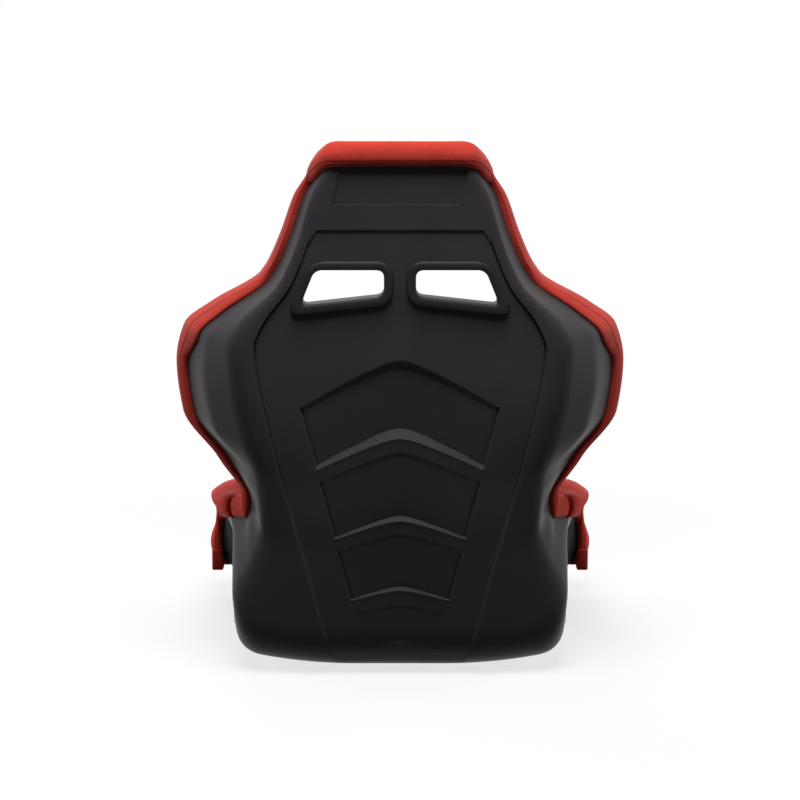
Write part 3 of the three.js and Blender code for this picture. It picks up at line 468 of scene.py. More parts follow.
class SeatSurface:
    """The shell's outer face and the lining's face, as points of lengthwise line u and crosswise line s."""

    wall_foam = 38.0
    wall_foam_share = 0.32
    floor_foam = 28.0
    cover_inner_foam = 17.0
    cover_inner_leg = 26.0
    cover_leg_share = 0.9
    cover_cap = 13.0
    crest_lean = 0.4
    lining_round_share = 0.6
    slot_corner = 10.0
    flat_half = 62.0
    bend_share = 0.44
    pocket_margin = 3
    line_gap = 0.012

    def __init__(self) -> None:
        """Makes the profile and the relief."""
        self.profile = Profile(STATIONS)
        self.relief = Relief()

    def _shape(self, face: Face, s: Array) -> dict[str, Array]:
        """Reads the corners of a section.

        Args:
            face: Which face.
            s: Places along the spine.

        Returns:
            The corners, as places sideways and towards the rim, and the bends' sizes, by name.
        """

        def read(name: str) -> Array:
            """Reads one of the profile's values at the section's places."""
            return self.profile.read(name, s)

        reach = np.hypot(read("back"), read("up"))
        shape = {
            "low": np.stack([read("corner"), np.zeros_like(s)], -1),
            "high": np.stack([read("crease"), reach * read("crease_share")], -1),
            "rim": np.stack([read("rim"), reach], -1),
            "dish": read("dish"),
            "round": read("round"),
            "soft": read("soft"),
            "towards": np.stack([read("back"), read("up")], -1) / reach[..., None],
        }
        if face is Face.OUTER:
            return shape
        wall = np.minimum(self.wall_foam, self.wall_foam_share * shape["low"][..., 0])
        crest = read("crest")
        high = shape["high"]
        shape["low"] = np.stack([shape["low"][..., 0] - wall, np.full_like(s, self.floor_foam)], -1)
        shape["high"] = np.stack(
            [high[..., 0] - wall, np.maximum(high[..., 1], self.floor_foam) + self.cover_cap], -1
        )
        lean = self.cover_inner_foam + crest * self.crest_lean
        shape["rim"] = np.stack([shape["rim"][..., 0] - lean, shape["rim"][..., 1] + crest], -1)
        shape["round"] = shape["round"] * self.lining_round_share + self.slot_corner
        shape["soft"] = shape["soft"] + self.cover_cap
        return shape

    def _section(self, face: Face, s: Array) -> dict[str, Array]:
        """Works out a section's bends from its corners.

        Args:
            face: Which face.
            s: Places along the spine.

        Returns:
            The starts, ends and corners of the section's straight runs and bends, by name.
        """
        shape = self._shape(face, s)
        low, high, rim, dish = (shape[k] for k in ("low", "high", "rim", "dish"))
        lifted = low + np.stack([np.zeros_like(dish), dish], -1)
        wall = self.bend_share * np.linalg.norm(high - lifted, axis=-1)
        flare = np.linalg.norm(high - rim, axis=-1)
        low_cut = np.minimum(np.minimum(shape["round"], wall), self.bend_share * low[..., 0])
        high_cut = np.minimum(np.minimum(shape["soft"], wall), self.bend_share * flare)
        level = np.minimum(self.flat_half, low[..., 0] / 2)
        end = low[..., 0] - low_cut
        section = {"low_y": low[..., 1], "low_x": low[..., 0], "level": level, "dish": dish}
        end_y = self._floor(section, end)
        slope = 2 * dish * (end - level) / (low[..., 0] - level) ** 2
        corner = np.stack([low[..., 0], end_y + slope * low_cut], -1)
        section["floor_end"] = np.stack([end, end_y], -1)
        section["corner"] = corner
        section["wall_start"] = self._cut(corner, high, low_cut)
        section["wall_end"] = self._cut(high, corner, high_cut)
        section["high"] = high
        section["flare_start"] = self._cut(high, rim, high_cut)
        leg = self.cover_leg_share * np.linalg.norm(rim - section["flare_start"], axis=-1)
        section["cover"] = self._cut(rim, high, np.minimum(self.cover_inner_leg, leg))
        section["rim"] = rim
        section["towards"] = shape["towards"]
        return section

    @staticmethod
    def _cut(start: Array, end: Array, length: Array) -> Array:
        """Gives the point at a length from start towards end."""
        whole = np.linalg.norm(end - start, axis=-1)
        return start + (end - start) * (length / whole)[..., None]

    @staticmethod
    def _floor(section: dict[str, Array], x: Array) -> Array:
        """Gives the floor's height at x."""
        beyond = np.maximum(x - section["level"], 0) / (section["low_x"] - section["level"])
        return section["low_y"] + section["dish"] * beyond**2

    def _stops(self, s: Array, floor_x: Array) -> Array:
        """Works out the shares of the floor at which its lengthwise lines lie.

        Args:
            s: Places along the spine.
            floor_x: The floor's half-width there.

        Returns:
            The shares, for each lengthwise line from the centre to the floor's end.
        """
        relief = self.relief
        panel = self.profile.read("panel", s)
        pocket = np.minimum(relief.pocket_half(s), panel - self.pocket_margin * relief.pocket_edge)
        places = [0 * s, pocket, pocket + relief.pocket_edge, panel, panel + relief.panel_edge, floor_x]
        apart = 1 - self.line_gap * (Line.FLOOR - np.arange(len(places)))
        return np.minimum(np.stack(places, -1) / floor_x[..., None], apart)

    def _flat_point(self, section: dict[str, Array], stops: Array, a: Array) -> Array:
        """Finds points of a section.

        Args:
            section: The section's bends.
            stops: The shares of the floor at which its lengthwise lines lie.
            a: Lengthwise lines, counted from the centre.

        Returns:
            The points, as places sideways and towards the rim.
        """
        k = np.clip(np.floor(a).astype(int), 0, Line.FLOOR - 1)
        first = np.take_along_axis(stops, k[..., None], -1)[..., 0]
        second = np.take_along_axis(stops, k[..., None] + 1, -1)[..., 0]
        x = section["floor_end"][..., 0] * mix(first, second, np.clip(a - k, 0, 1))
        point = np.stack([x, self._floor(section, x)], -1)

        def bend(start: str, corner: str, end: str, t: Array) -> Array:
            """Gives the point at share t of the bend between two points of the section."""
            t = np.clip(t, 0, 1)[..., None]
            return mix(mix(section[start], section[corner], t), mix(section[corner], section[end], t), t)

        def straight(start: str, end: str, t: Array) -> Array:
            """Gives the point at share t of the straight line between two points of the section."""
            return mix(section[start], section[end], np.clip(t, 0, 1)[..., None])

        corner_run = Line.CORNER - Line.FLOOR
        parts = [
            (Line.FLOOR, bend("floor_end", "corner", "wall_start", (a - Line.FLOOR) / corner_run)),
            (Line.CORNER, straight("wall_start", "wall_end", a - Line.CORNER)),
            (Line.CREASE, bend("wall_end", "high", "flare_start", a - Line.CREASE)),
            (Line.FLARE, straight("flare_start", "cover", a - Line.FLARE)),
            (Line.COVER, straight("cover", "rim", a - Line.COVER)),
        ]
        for start, values in parts:
            point = np.where((a > start)[..., None], values, point)
        return point

    def _row_place(self, u: Array, s: Array) -> Array:
        """Finds the sections that crosswise lines pass through.

        Args:
            u: Lengthwise lines.
            s: Crosswise lines.

        Returns:
            The sections' places along the spine.
        """
        a = np.abs(u)
        level = self._section(Face.OUTER, s)
        stops = self._stops(s, level["floor_end"][..., 0])
        x = self._flat_point(level, stops, np.minimum(a, Line.FLOOR))[..., 0]
        follows = np.clip((Line.CREASE - a) / (Line.CREASE - Line.PANEL_OUT), 0, 1)
        return s - self.relief.fall(s) * self.relief.rounded_v(x, s) * follows

    def point(self, face: Face, u: Array, s: Array) -> Array:
        """Finds points of a face.

        Args:
            face: Which face.
            u: Lengthwise lines; a negative one lies on the right.
            s: Crosswise lines.

        Returns:
            The points, in millimetres.
        """
        u, s = np.broadcast_arrays(np.asarray(u, float), np.asarray(s, float))
        place = self._row_place(u, s) if face is Face.OUTER else s
        section = self._section(face, place)
        outer = section if face is Face.OUTER else self._section(Face.OUTER, place)
        flat = self._flat_point(section, self._stops(place, outer["floor_end"][..., 0]), np.abs(u))
        y, z, _ = SPINE.at(place)
        side = np.where(u < 0, -1.0, 1.0)
        towards = section["towards"]
        height = flat[..., 1]
        return np.stack(
            [side * flat[..., 0], y + height * towards[..., 0], z + height * towards[..., 1]], -1
        )

    def normal(self, face: Face, u: Array, s: Array) -> Array:
        """Finds a face's outward normals.

        Args:
            face: Which face.
            u: Lengthwise lines; a negative one lies on the right.
            s: Crosswise lines.

        Returns:
            The normals.
        """
        step_u, step_s = 0.02, 0.5
        rim, end = Line.RIM, SPINE.length
        across = self.point(face, np.minimum(u + step_u, rim), s)
        across = across - self.point(face, np.maximum(u - step_u, -rim), s)
        ahead = self.point(face, u, np.minimum(s + step_s, end))
        ahead = ahead - self.point(face, u, np.maximum(s - step_s, 0))
        normal = np.cross(ahead, across)
        return normal / np.linalg.norm(normal, axis=-1, keepdims=True)

    def inside(self, u: Array, s: Array, depth: Array | float) -> Array:
        """Finds points at a depth inside the shell's outer face, with its relief left out.

        Args:
            u: Lengthwise lines; a negative one lies on the right.
            s: Crosswise lines.
            depth: How far inside the face, in millimetres.

        Returns:
            The points, in millimetres.
        """
        u, s = np.broadcast_arrays(np.asarray(u, float), np.asarray(s, float))
        depth = np.broadcast_to(np.asarray(depth, float), u.shape)
        return self.point(Face.OUTER, u, s) - self.normal(Face.OUTER, u, s) * depth[..., None]


# ---- Mesh work ----


def deselect() -> None:
    """Deselects every object, because an operator acts on all that is selected."""
    for one in bpy.context.view_layer.objects:
        one.select_set(False)


def choose(piece: bpy.types.Object) -> None:
    """Makes a piece the only one that is selected, and the active one.

    Args:
        piece: The piece.
    """
    deselect()
    piece.select_set(True)
    bpy.context.view_layer.objects.active = piece


def apply_modifier(piece: bpy.types.Object, kind: str, **values: object) -> None:
    """Adds a modifier and applies it.

    Args:
        piece: The piece to change.
        kind: Blender's name for the kind of modifier.
        values: The modifier's own values.
    """
    choose(piece)
    modifier = piece.modifiers.new(kind.title(), kind)
    for name, value in values.items():
        setattr(modifier, name, value)
    bpy.ops.object.modifier_apply(modifier=modifier.name)


def edit(piece: bpy.types.Object, *steps: Callable[[], object]) -> None:
    """Runs operators on all of a piece in edit mode.

    Args:
        piece: The piece to change.
        steps: The operators' calls.
    """
    choose(piece)
    bpy.ops.object.mode_set(mode="EDIT")
    bpy.ops.mesh.select_all(action="SELECT")
    for step in steps:
        step()
    bpy.ops.object.mode_set(mode="OBJECT")


def merge_doubles(distance: float = 2e-6) -> None:
    """Merges the selected vertices that share a place."""
    bpy.ops.mesh.remove_doubles(threshold=distance)


def outward() -> None:
    """Turns the selected faces of a closed shape outwards."""
    bpy.ops.mesh.normals_make_consistent(inside=False)


def right_way_out(piece: bpy.types.Object) -> None:
    """Turns a closed piece's faces round if they enclose a negative volume.

    Args:
        piece: The piece, whose faces already agree with each other.
    """
    probe = bmesh.new()
    probe.from_mesh(piece.data)
    volume = probe.calc_volume(signed=True)
    probe.free()
    if volume < 0:
        edit(piece, bpy.ops.mesh.flip_normals)


def shade(piece: bpy.types.Object, angle: float = 40) -> None:
    """Shades a piece smooth up to an angle in degrees."""
    choose(piece)
    bpy.ops.object.shade_smooth_by_angle(angle=math.radians(angle))


def grid_piece(name: str, points: Array) -> bpy.types.Object:
    """Makes a grid and lays it on points.

    Args:
        name: The piece's name.
        points: Its places in millimetres, by row and column.

    Returns:
        The piece, with a UV map in metres along its rows and columns.
    """
    rows, columns = points.shape[:2]
    deselect()
    bpy.ops.mesh.primitive_grid_add(x_subdivisions=columns - 1, y_subdivisions=rows - 1, size=1)
    piece = bpy.context.active_object
    piece.name = piece.data.name = name
    mesh = piece.data
    flat = np.zeros(len(mesh.vertices) * 3)
    mesh.vertices.foreach_get("co", flat)
    flat = flat.reshape(-1, 3)
    i = np.rint((flat[:, 0] + 0.5) * (columns - 1)).astype(int)
    j = np.rint((flat[:, 1] + 0.5) * (rows - 1)).astype(int)
    placed = points * MM
    mesh.vertices.foreach_set("co", placed[j, i].astype(np.float32).ravel())
    across = np.linalg.norm(np.diff(placed, axis=1), axis=-1)
    ahead = np.linalg.norm(np.diff(placed, axis=0), axis=-1)
    u = np.concatenate([np.zeros((rows, 1)), np.cumsum(across, 1)], 1)
    v = np.concatenate([np.zeros((1, columns)), np.cumsum(ahead, 0)], 0)
    u -= u[:, [columns // 2]]
    corner = np.zeros(len(mesh.loops), int)
    mesh.loops.foreach_get("vertex_index", corner)
    uv = np.stack([u[j, i], v[j, i]], -1)[corner]
    mesh.uv_layers.active.data.foreach_set("uv", uv.astype(np.float32).ravel())
    mesh.update()
    return piece


def loop_piece(name: str, rings: Array) -> bpy.types.Object:
    """Makes a closed piece from rings of points; the first and last rings close to a line or a point.

    Args:
        name: The piece's name.
        rings: Places in millimetres, by ring and place round the ring.

    Returns:
        The closed piece.
    """
    closed = np.concatenate([rings, rings[:, :1]], 1)
    piece = grid_piece(name, closed)
    edit(piece, merge_doubles, dissolve_flat, outward)
    return piece


def dissolve_flat() -> None:
    """Removes faces and edges without a size."""
    bpy.ops.mesh.dissolve_degenerate(threshold=1e-6)


def cut_away(piece: bpy.types.Object, tools: Sequence[bpy.types.Object]) -> None:
    """Cuts closed tools from a closed piece and deletes them.

    Args:
        piece: The piece to cut.
        tools: The solids to take from it.
    """
    for tool in tools:
        apply_modifier(piece, "BOOLEAN", object=tool, operation="DIFFERENCE", solver="MANIFOLD")
        bpy.data.objects.remove(tool)


def join(pieces: Sequence[bpy.types.Object]) -> bpy.types.Object:
    """Joins pieces into the first.

    Args:
        pieces: The pieces to join.

    Returns:
        The first piece, which now holds them all.
    """
    choose(pieces[0])
    for one in pieces:
        one.select_set(True)
    bpy.ops.object.join()
    return pieces[0]


def drift(points: Array, size: float, amount: float, seed: float) -> Array:
    """Gives each point a soft push, as the hand-laid padding under a cover has.

    Args:
        points: Places in millimetres.
        size: The size of the hollows.
        amount: The largest push.
        seed: Moves the pattern.

    Returns:
        A push for each point, from -amount to amount.
    """
    x, y, z = np.moveaxis(points / size + seed, -1, 0)
    waves = [np.sin(x * 1.7 + np.cos(y * 1.3)), np.sin(z * 1.9 + x * 0.7), np.sin(y * 2.3 - z * 1.1)]
    return sum(waves) * amount / len(waves)


# ---- Finishes ----


def srgb(red: int, green: int, blue: int) -> Colour:
    """Turns a screen colour into a linear one.

    Args:
        red: Its red, from 0 to 255.
        green: Its green.
        blue: Its blue.

    Returns:
        The linear colour and an alpha of 1.
    """
    shares = [value / 255 for value in (red, green, blue)]
    linear = [v / 12.92 if v <= 0.04045 else ((v + 0.055) / 1.055) ** 2.4 for v in shares]
    return (*linear, 1.0)


class Nodes:
    """Short way to lay out a node tree."""

    def __init__(self, tree: bpy.types.NodeTree) -> None:
        """Takes the tree to fill."""
        self.tree = tree

    def add(self, kind: str, **values: object) -> bpy.types.Node:
        """Adds a node.

        Args:
            kind: The node's type name without its ShaderNode start.
            values: Properties of the node to set.

        Returns:
            The node.
        """
        node = self.tree.nodes.new("ShaderNode" + kind)
        for name, value in values.items():
            setattr(node, name, value)
        return node

    def link(self, source: bpy.types.NodeSocket, target: bpy.types.NodeSocket) -> None:
        """Links an output to an input."""
        self.tree.links.new(source, target)

    def math(self, operation: str, first: object, second: object = 0.0) -> bpy.types.NodeSocket:
        """Adds a Math node.

        Args:
            operation: What it does.
            first: Its first value, a socket or a number.
            second: Its second value.

        Returns:
            Its output.
        """
        node = self.add("Math", operation=operation)
        for place, value in enumerate((first, second)):
            if isinstance(value, bpy.types.NodeSocket):
                self.link(value, node.inputs[place])
            else:
                node.inputs[place].default_value = value
        return node.outputs[0]

    def blend(self, factor: bpy.types.NodeSocket, first: object, second: object) -> bpy.types.NodeSocket:
        """Mixes two colours.

        Args:
            factor: The share of the second colour.
            first: The first colour, a socket or four numbers.
            second: The second colour.

        Returns:
            The mixed colour.
        """
        node = self.add("Mix", data_type="RGBA")
        self.link(factor, node.inputs[0])
        for place, value in ((6, first), (7, second)):
            if isinstance(value, bpy.types.NodeSocket):
                self.link(value, node.inputs[place])
            else:
                node.inputs[place].default_value = value
        return node.outputs[2]

    def noise(self, vector: bpy.types.NodeSocket, scale: float, detail: float = 2.0) -> bpy.types.NodeSocket:
        """Adds a noise texture.

        Args:
            vector: The place to read it at.
            scale: Its scale per metre.
            detail: How many finer layers it has.

        Returns:
            Its value.
        """
        node = self.add("TexNoise")
        self.link(vector, node.inputs["Vector"])
        node.inputs["Scale"].default_value = scale
        node.inputs["Detail"].default_value = detail
        return node.outputs["Fac"]

    def ramp(self, factor: bpy.types.NodeSocket, low: float, high: float) -> bpy.types.NodeSocket:
        """Stretches the values between two limits to the whole of 0 to 1.

        Args:
            factor: The value.
            low: The value that becomes 0.
            high: The value that becomes 1.

        Returns:
            The stretched value.
        """
        node = self.add("MapRange")
        self.link(factor, node.inputs["Value"])
        node.inputs["From Min"].default_value = low
        node.inputs["From Max"].default_value = high
        return node.outputs["Result"]


def make_group(
    name: str, inputs: dict[str, float], outputs: Sequence[str]
) -> tuple[bpy.types.NodeTree, Nodes]:
    """Starts a shader node group.

    Args:
        name: The group's name.
        inputs: Its number inputs and their values.
        outputs: Its number outputs.

    Returns:
        The group and a layout for its tree.
    """
    group = bpy.data.node_groups.new(name, "ShaderNodeTree")
    for label, value in inputs.items():
        made = group.interface.new_socket(label, in_out="INPUT", socket_type="NodeSocketFloat")
        made.default_value = value
    for label in outputs:
        group.interface.new_socket(label, in_out="OUTPUT", socket_type="NodeSocketFloat")
    return group, Nodes(group)


def knit_group() -> bpy.types.NodeTree:
    """Makes the knitted cloth's effect: rows of small loops with a short nap.

    Returns:
        A group with inputs Loop, the loops' size in metres, and Nap, and outputs Height and Shade.
    """
    group, nodes = make_group("KnitCloth", {"Loop": 0.0011, "Nap": 0.5}, ("Height", "Shade"))
    start = group.nodes.new("NodeGroupInput")
    end = group.nodes.new("NodeGroupOutput")
    place = nodes.add("TexCoord").outputs["Object"]
    per_metre = nodes.math("DIVIDE", 1.0, start.outputs["Loop"])
    cells = nodes.add("TexVoronoi")
    nodes.link(place, cells.inputs["Vector"])
    nodes.link(per_metre, cells.inputs["Scale"])
    fuzz = nodes.noise(place, scale=900.0, detail=3.0)
    loops = nodes.math("SUBTRACT", 1.0, cells.outputs["Distance"])
    nap = nodes.math("MULTIPLY", fuzz, start.outputs["Nap"])
    height = nodes.math("ADD", loops, nap)
    wide = nodes.noise(place, scale=26.0, detail=4.0)
    fine = nodes.noise(place, scale=240.0)
    wide_share = 0.6
    wide, fine = nodes.math("MULTIPLY", wide, wide_share), nodes.math("MULTIPLY", fine, 1 - wide_share)
    shade_value = nodes.math("ADD", wide, fine)
    nodes.link(height, end.inputs["Height"])
    nodes.link(shade_value, end.inputs["Shade"])
    return group


def grain_group() -> bpy.types.NodeTree:
    """Makes the moulded surface's effect: a faint ripple of the mould and specks of dust.

    Returns:
        A group with inputs Ripple and Speck, both scales per metre, and outputs Height and Dust.
    """
    group, nodes = make_group("MouldedGrain", {"Ripple": 18.0, "Speck": 1400.0}, ("Height", "Dust"))
    start = group.nodes.new("NodeGroupInput")
    end = group.nodes.new("NodeGroupOutput")
    place = nodes.add("TexCoord").outputs["Object"]
    wave = nodes.add("TexNoise")
    nodes.link(place, wave.inputs["Vector"])
    nodes.link(start.outputs["Ripple"], wave.inputs["Scale"])
    speck = nodes.add("TexNoise")
    nodes.link(place, speck.inputs["Vector"])
    nodes.link(start.outputs["Speck"], speck.inputs["Scale"])
    nodes.link(wave.outputs["Fac"], end.inputs["Height"])
    dust = nodes.ramp(nodes.math("MULTIPLY", speck.outputs["Fac"], wave.outputs["Fac"]), low=0.2, high=0.5)
    nodes.link(dust, end.inputs["Dust"])
    return group


@dataclass(frozen=True)
class Finish:
    """A surface finish: two colours that the material varies between, and its gloss."""

    name: str
    colour: Colour
    second: Colour
    roughness: float
    specular: float = 0.5
    metallic: float = 0.0
    bump: float = 0.2
    relief: float = 0.0002
    sheen: float = 0.0
    scale: float = 0.0011
    spread: float = 0.08

    def group(self) -> bpy.types.NodeTree:
        """Gives the effect group that this finish uses."""
        return GRAIN

    def material(self) -> bpy.types.Material:
        """Makes the material.

        Returns:
            A material with a Principled BSDF, fed by the finish's effect group.
        """
        made = bpy.data.materials.get(self.name)
        if made:
            return made
        made = bpy.data.materials.new(self.name)
        made.use_nodes = True
        tree = made.node_tree
        nodes = Nodes(tree)
        shader = tree.nodes["Principled BSDF"]
        shader.inputs["Metallic"].default_value = self.metallic
        shader.inputs["Specular IOR Level"].default_value = self.specular
        shader.inputs["Sheen Weight"].default_value = self.sheen
        effect = tree.nodes.new("ShaderNodeGroup")
        effect.node_tree = self.group()
        height, shade_value = self.tune(nodes, effect)
        nodes.link(nodes.blend(shade_value, self.colour, self.second), shader.inputs["Base Color"])
        least = self.roughness - self.spread / 2
        rough = nodes.math("ADD", least, nodes.math("MULTIPLY", shade_value, self.spread))
        nodes.link(rough, shader.inputs["Roughness"])
        bump = nodes.add("Bump")
        bump.inputs["Strength"].default_value = self.bump
        bump.inputs["Distance"].default_value = self.relief
        nodes.link(height, bump.inputs["Height"])
        nodes.link(bump.outputs["Normal"], shader.inputs["Normal"])
        return made

    def tune(self, nodes: Nodes, effect: bpy.types.Node) -> tuple[bpy.types.NodeSocket, ...]:
        """Gives the effect's height and shade."""
        return effect.outputs["Height"], effect.outputs["Dust"]


@dataclass(frozen=True)
class Cloth(Finish):
    """Knitted upholstery cloth."""

    def group(self) -> bpy.types.NodeTree:
        """Gives the knit."""
        return KNIT

    def tune(self, nodes: Nodes, effect: bpy.types.Node) -> tuple[bpy.types.NodeSocket, ...]:
        """Sets the loops' size and gives the effect's height and its shade, stretched."""
        effect.inputs["Loop"].default_value = self.scale
        return effect.outputs["Height"], nodes.ramp(effect.outputs["Shade"], low=0.35, high=0.65)


KNIT = knit_group()
GRAIN = grain_group()


class Finishes:
    """Every finish of the seat."""

    gelcoat = Finish(
        "BlackGelcoat", srgb(57, 55, 58), srgb(63, 61, 64), 0.36, specular=0.03, bump=0.04, relief=0.0006
    )
    red_cloth = Cloth(
        "RedCloth", srgb(190, 59, 47), srgb(176, 53, 42), 0.85, specular=0.1, bump=0.5, sheen=0.1
    )
    black_cloth = Cloth(
        "BlackCloth", srgb(34, 34, 36), srgb(42, 42, 44), 0.9, specular=0.2, bump=0.6, sheen=0.15
    )
    trim = Finish(
        "BlackTrim", srgb(34, 33, 35), srgb(40, 39, 41), 0.46, specular=0.12, bump=0.04, relief=0.0003
    )
    hook_tape = Cloth(
        "HookTape", srgb(20, 20, 21), srgb(28, 28, 29), 0.95, specular=0.1, bump=1.0, scale=0.0022
    )
    steel = Finish(
        "PlatedSteel", srgb(182, 184, 187), srgb(160, 162, 166), 0.32, metallic=1.0, bump=0.05
    )


def dress(piece: bpy.types.Object, finish: Finish) -> None:
    """Gives a piece one finish all over."""
    piece.data.materials.clear()
    piece.data.materials.append(finish.material())


class Body(Enum):
    """The bodies of the frame that pieces ride on."""

    SEAT = "seat"
    SEAT_CUSHION = "seat_cushion"
    LUMBAR_CUSHION = "lumbar_cushion"
    HEAD_CUSHION = "head_cushion"


class Slot(Enum):
    """The record's material slots."""

    GELCOAT = "shell_gelcoat"
    RED = "red_fabric"
    BLACK = "black_fabric"
    TRIM = "black_trim"
    HOOK = "hook_tape"
    STEEL = "plated_steel"


def mount_piece(
    piece: bpy.types.Object, body: Body, slot: Slot, replaces: Sequence[str] = (), fill: float | None = None
) -> bpy.types.Object:
    """Gives a finished piece its place in the frame.

    Args:
        piece: The finished piece.
        body: The body that it rides on.
        slot: The record's material slot that its finish belongs to; not used.
        replaces: The nodes that it stands for.
        fill: How tight its padding is, for a padded piece; not used.

    Returns:
        The piece.
    """
    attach(piece, body.value)
    if replaces:
        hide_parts(*replaces)
    log.info("%s: %d faces", piece.name, len(piece.data.polygons))
    return piece


# ---- The shell ----

SURFACE = SeatSurface()
SIDES = {"left": 1, "right": -1}


def spread(stops: Sequence[tuple[float, int]]) -> Array:
    """Gives places from a list of stops, each with the number of steps that lead to it.

    Args:
        stops: A value and the steps up to it; the first one's steps aren't used.

    Returns:
        All the places, in order.
    """
    places = [np.array([stops[0][0]])]
    for (start, _), (end, steps) in zip(stops, stops[1:]):
        places.append(np.linspace(start, end, steps + 1)[1:])
    return np.concatenate(places)


@dataclass(frozen=True)
class Outline:
    """A slot's rounded outline in its own axes: x and y across the opening, z through it."""

    corners: tuple[Place, ...]
    origin: Place3
    x: Place3
    y: Place3
    z: Place3
    radius: float = 10.0
    least_radius: float = 1.0
    bend_steps: int = 8
    side_steps: int = 6
    bend_share: float = 0.49

    def ring(self, grow: float = 0.0) -> Array:
        """Gives the outline, moved outwards.

        Args:
            grow: How far it is moved.

        Returns:
            Its points in the slot's own axes.
        """
        points = np.array(self.corners, float)
        before, after = np.roll(points, 1, 0), np.roll(points, -1, 0)
        into = (points - before) / np.linalg.norm(points - before, axis=1, keepdims=True)
        out = (after - points) / np.linalg.norm(after - points, axis=1, keepdims=True)
        away = np.stack([into[:, 1], -into[:, 0]], -1)
        mitre = away + np.stack([out[:, 1], -out[:, 0]], -1)
        mitre /= np.linalg.norm(mitre, axis=1, keepdims=True)
        moved = points + mitre * (grow / np.sum(mitre * away, 1))[:, None]
        return self._rounded(moved, max(self.radius + grow, self.least_radius))

    def _rounded(self, points: Array, radius: float) -> Array:
        """Rounds each corner by a curve.

        Args:
            points: The corners.
            radius: How far from its corner a curve starts and ends.

        Returns:
            The rounded outline's points.
        """

        def towards(point: Array, end: Array) -> Array:
            """Gives the place on a side where the curve at point starts or ends."""
            return mix(point, end, min(radius / np.linalg.norm(end - point), self.bend_share))

        before, after = np.roll(points, 1, 0), np.roll(points, -1, 0)
        starts = [towards(point, back) for point, back in zip(points, before)]
        ends = [towards(point, ahead) for point, ahead in zip(points, after)]
        ring = []
        for k, point in enumerate(points):
            for t in np.linspace(0, 1, self.bend_steps + 1):
                ring.append(mix(mix(starts[k], point, t), mix(point, ends[k], t), t))
            following = starts[(k + 1) % len(points)]
            for t in np.linspace(0, 1, self.side_steps + 1)[1:-1]:
                ring.append(mix(ends[k], following, t))
        return np.array(ring)

    def place(self, flat: Array, depth: Array | float) -> Array:
        """Places points of the slot's axes in the seat.

        Args:
            flat: Places across the opening.
            depth: Places through it.

        Returns:
            The points, in millimetres.
        """
        depth = np.broadcast_to(np.asarray(depth, float), flat.shape[:-1])
        x, y, z = (np.array(axis, float) for axis in (self.x, self.y, self.z))
        return np.array(self.origin) + flat[..., :1] * x + flat[..., 1:2] * y + depth[..., None] * z

    def tool(self, grow: float, start: float, end: float) -> bpy.types.Object:
        """Makes a solid of the outline, to cut with.

        Args:
            grow: How far the outline is moved outwards.
            start: The depth of its first face.
            end: The depth of its last face.

        Returns:
            The solid.
        """
        ring = self.ring(grow)
        middle = np.broadcast_to(ring.mean(0), ring.shape)
        places = ((middle, start), (ring, start), (ring, end), (middle, end))
        return loop_piece("slot_tool", np.array([self.place(flat, depth) for flat, depth in places]))


def box_corners(half_x: float, half_y: float) -> tuple[Place, ...]:
    """Gives the corners of a rectangle about its middle."""
    return ((-half_x, -half_y), (half_x, -half_y), (half_x, half_y), (-half_x, half_y))


def mirrored(corners: Sequence[Place], side: int) -> tuple[Place, ...]:
    """Gives an outline's corners on one side, in the same turning order on both."""
    placed = [(side * x, y) for x, y in corners]
    return tuple(placed if side > 0 else placed[::-1])


class SlotPlaces:
    """Where the belt slots are."""

    gap = 0.4
    sleeve_wall = 2.4
    room = sleeve_wall + gap
    outside = -60.0
    past_shell = 60.0
    past_lining = 90.0
    past_bolster = 120.0

    @staticmethod
    def shoulder(side: int) -> Outline:
        """Lays out a shoulder slot, which runs straight forward through the leaning back.

        Args:
            side: 1 on the left and -1 on the right.

        Returns:
            Its outline.
        """
        y, z, heading = (float(v[0]) for v in SPINE.at(np.array([along("head", 0.424)])))
        corners = mirrored([(20, -12), (124, -24), (106, 21), (20, 21)], side)
        leaning = (0.0, math.cos(heading), math.sin(heading))
        return Outline(corners, (0.0, y, z), RIGHTWARD, leaning, (0.0, -1.0, 0.0))

    @staticmethod
    def lap(side: int) -> Outline:
        """Gives a lap slot in a side wall."""
        place = (side * WALL, 113.0, 104.0)
        return Outline(box_corners(32, 13), place, (0.0, -side, 0.0), UPWARD, (-side, 0.0, 0.0))

    @staticmethod
    def crotch() -> Outline:
        """Gives the crotch slot in the pan."""
        return Outline(box_corners(42, 17), (0.0, -58.0, 0.0), RIGHTWARD, BACKWARD, UPWARD)


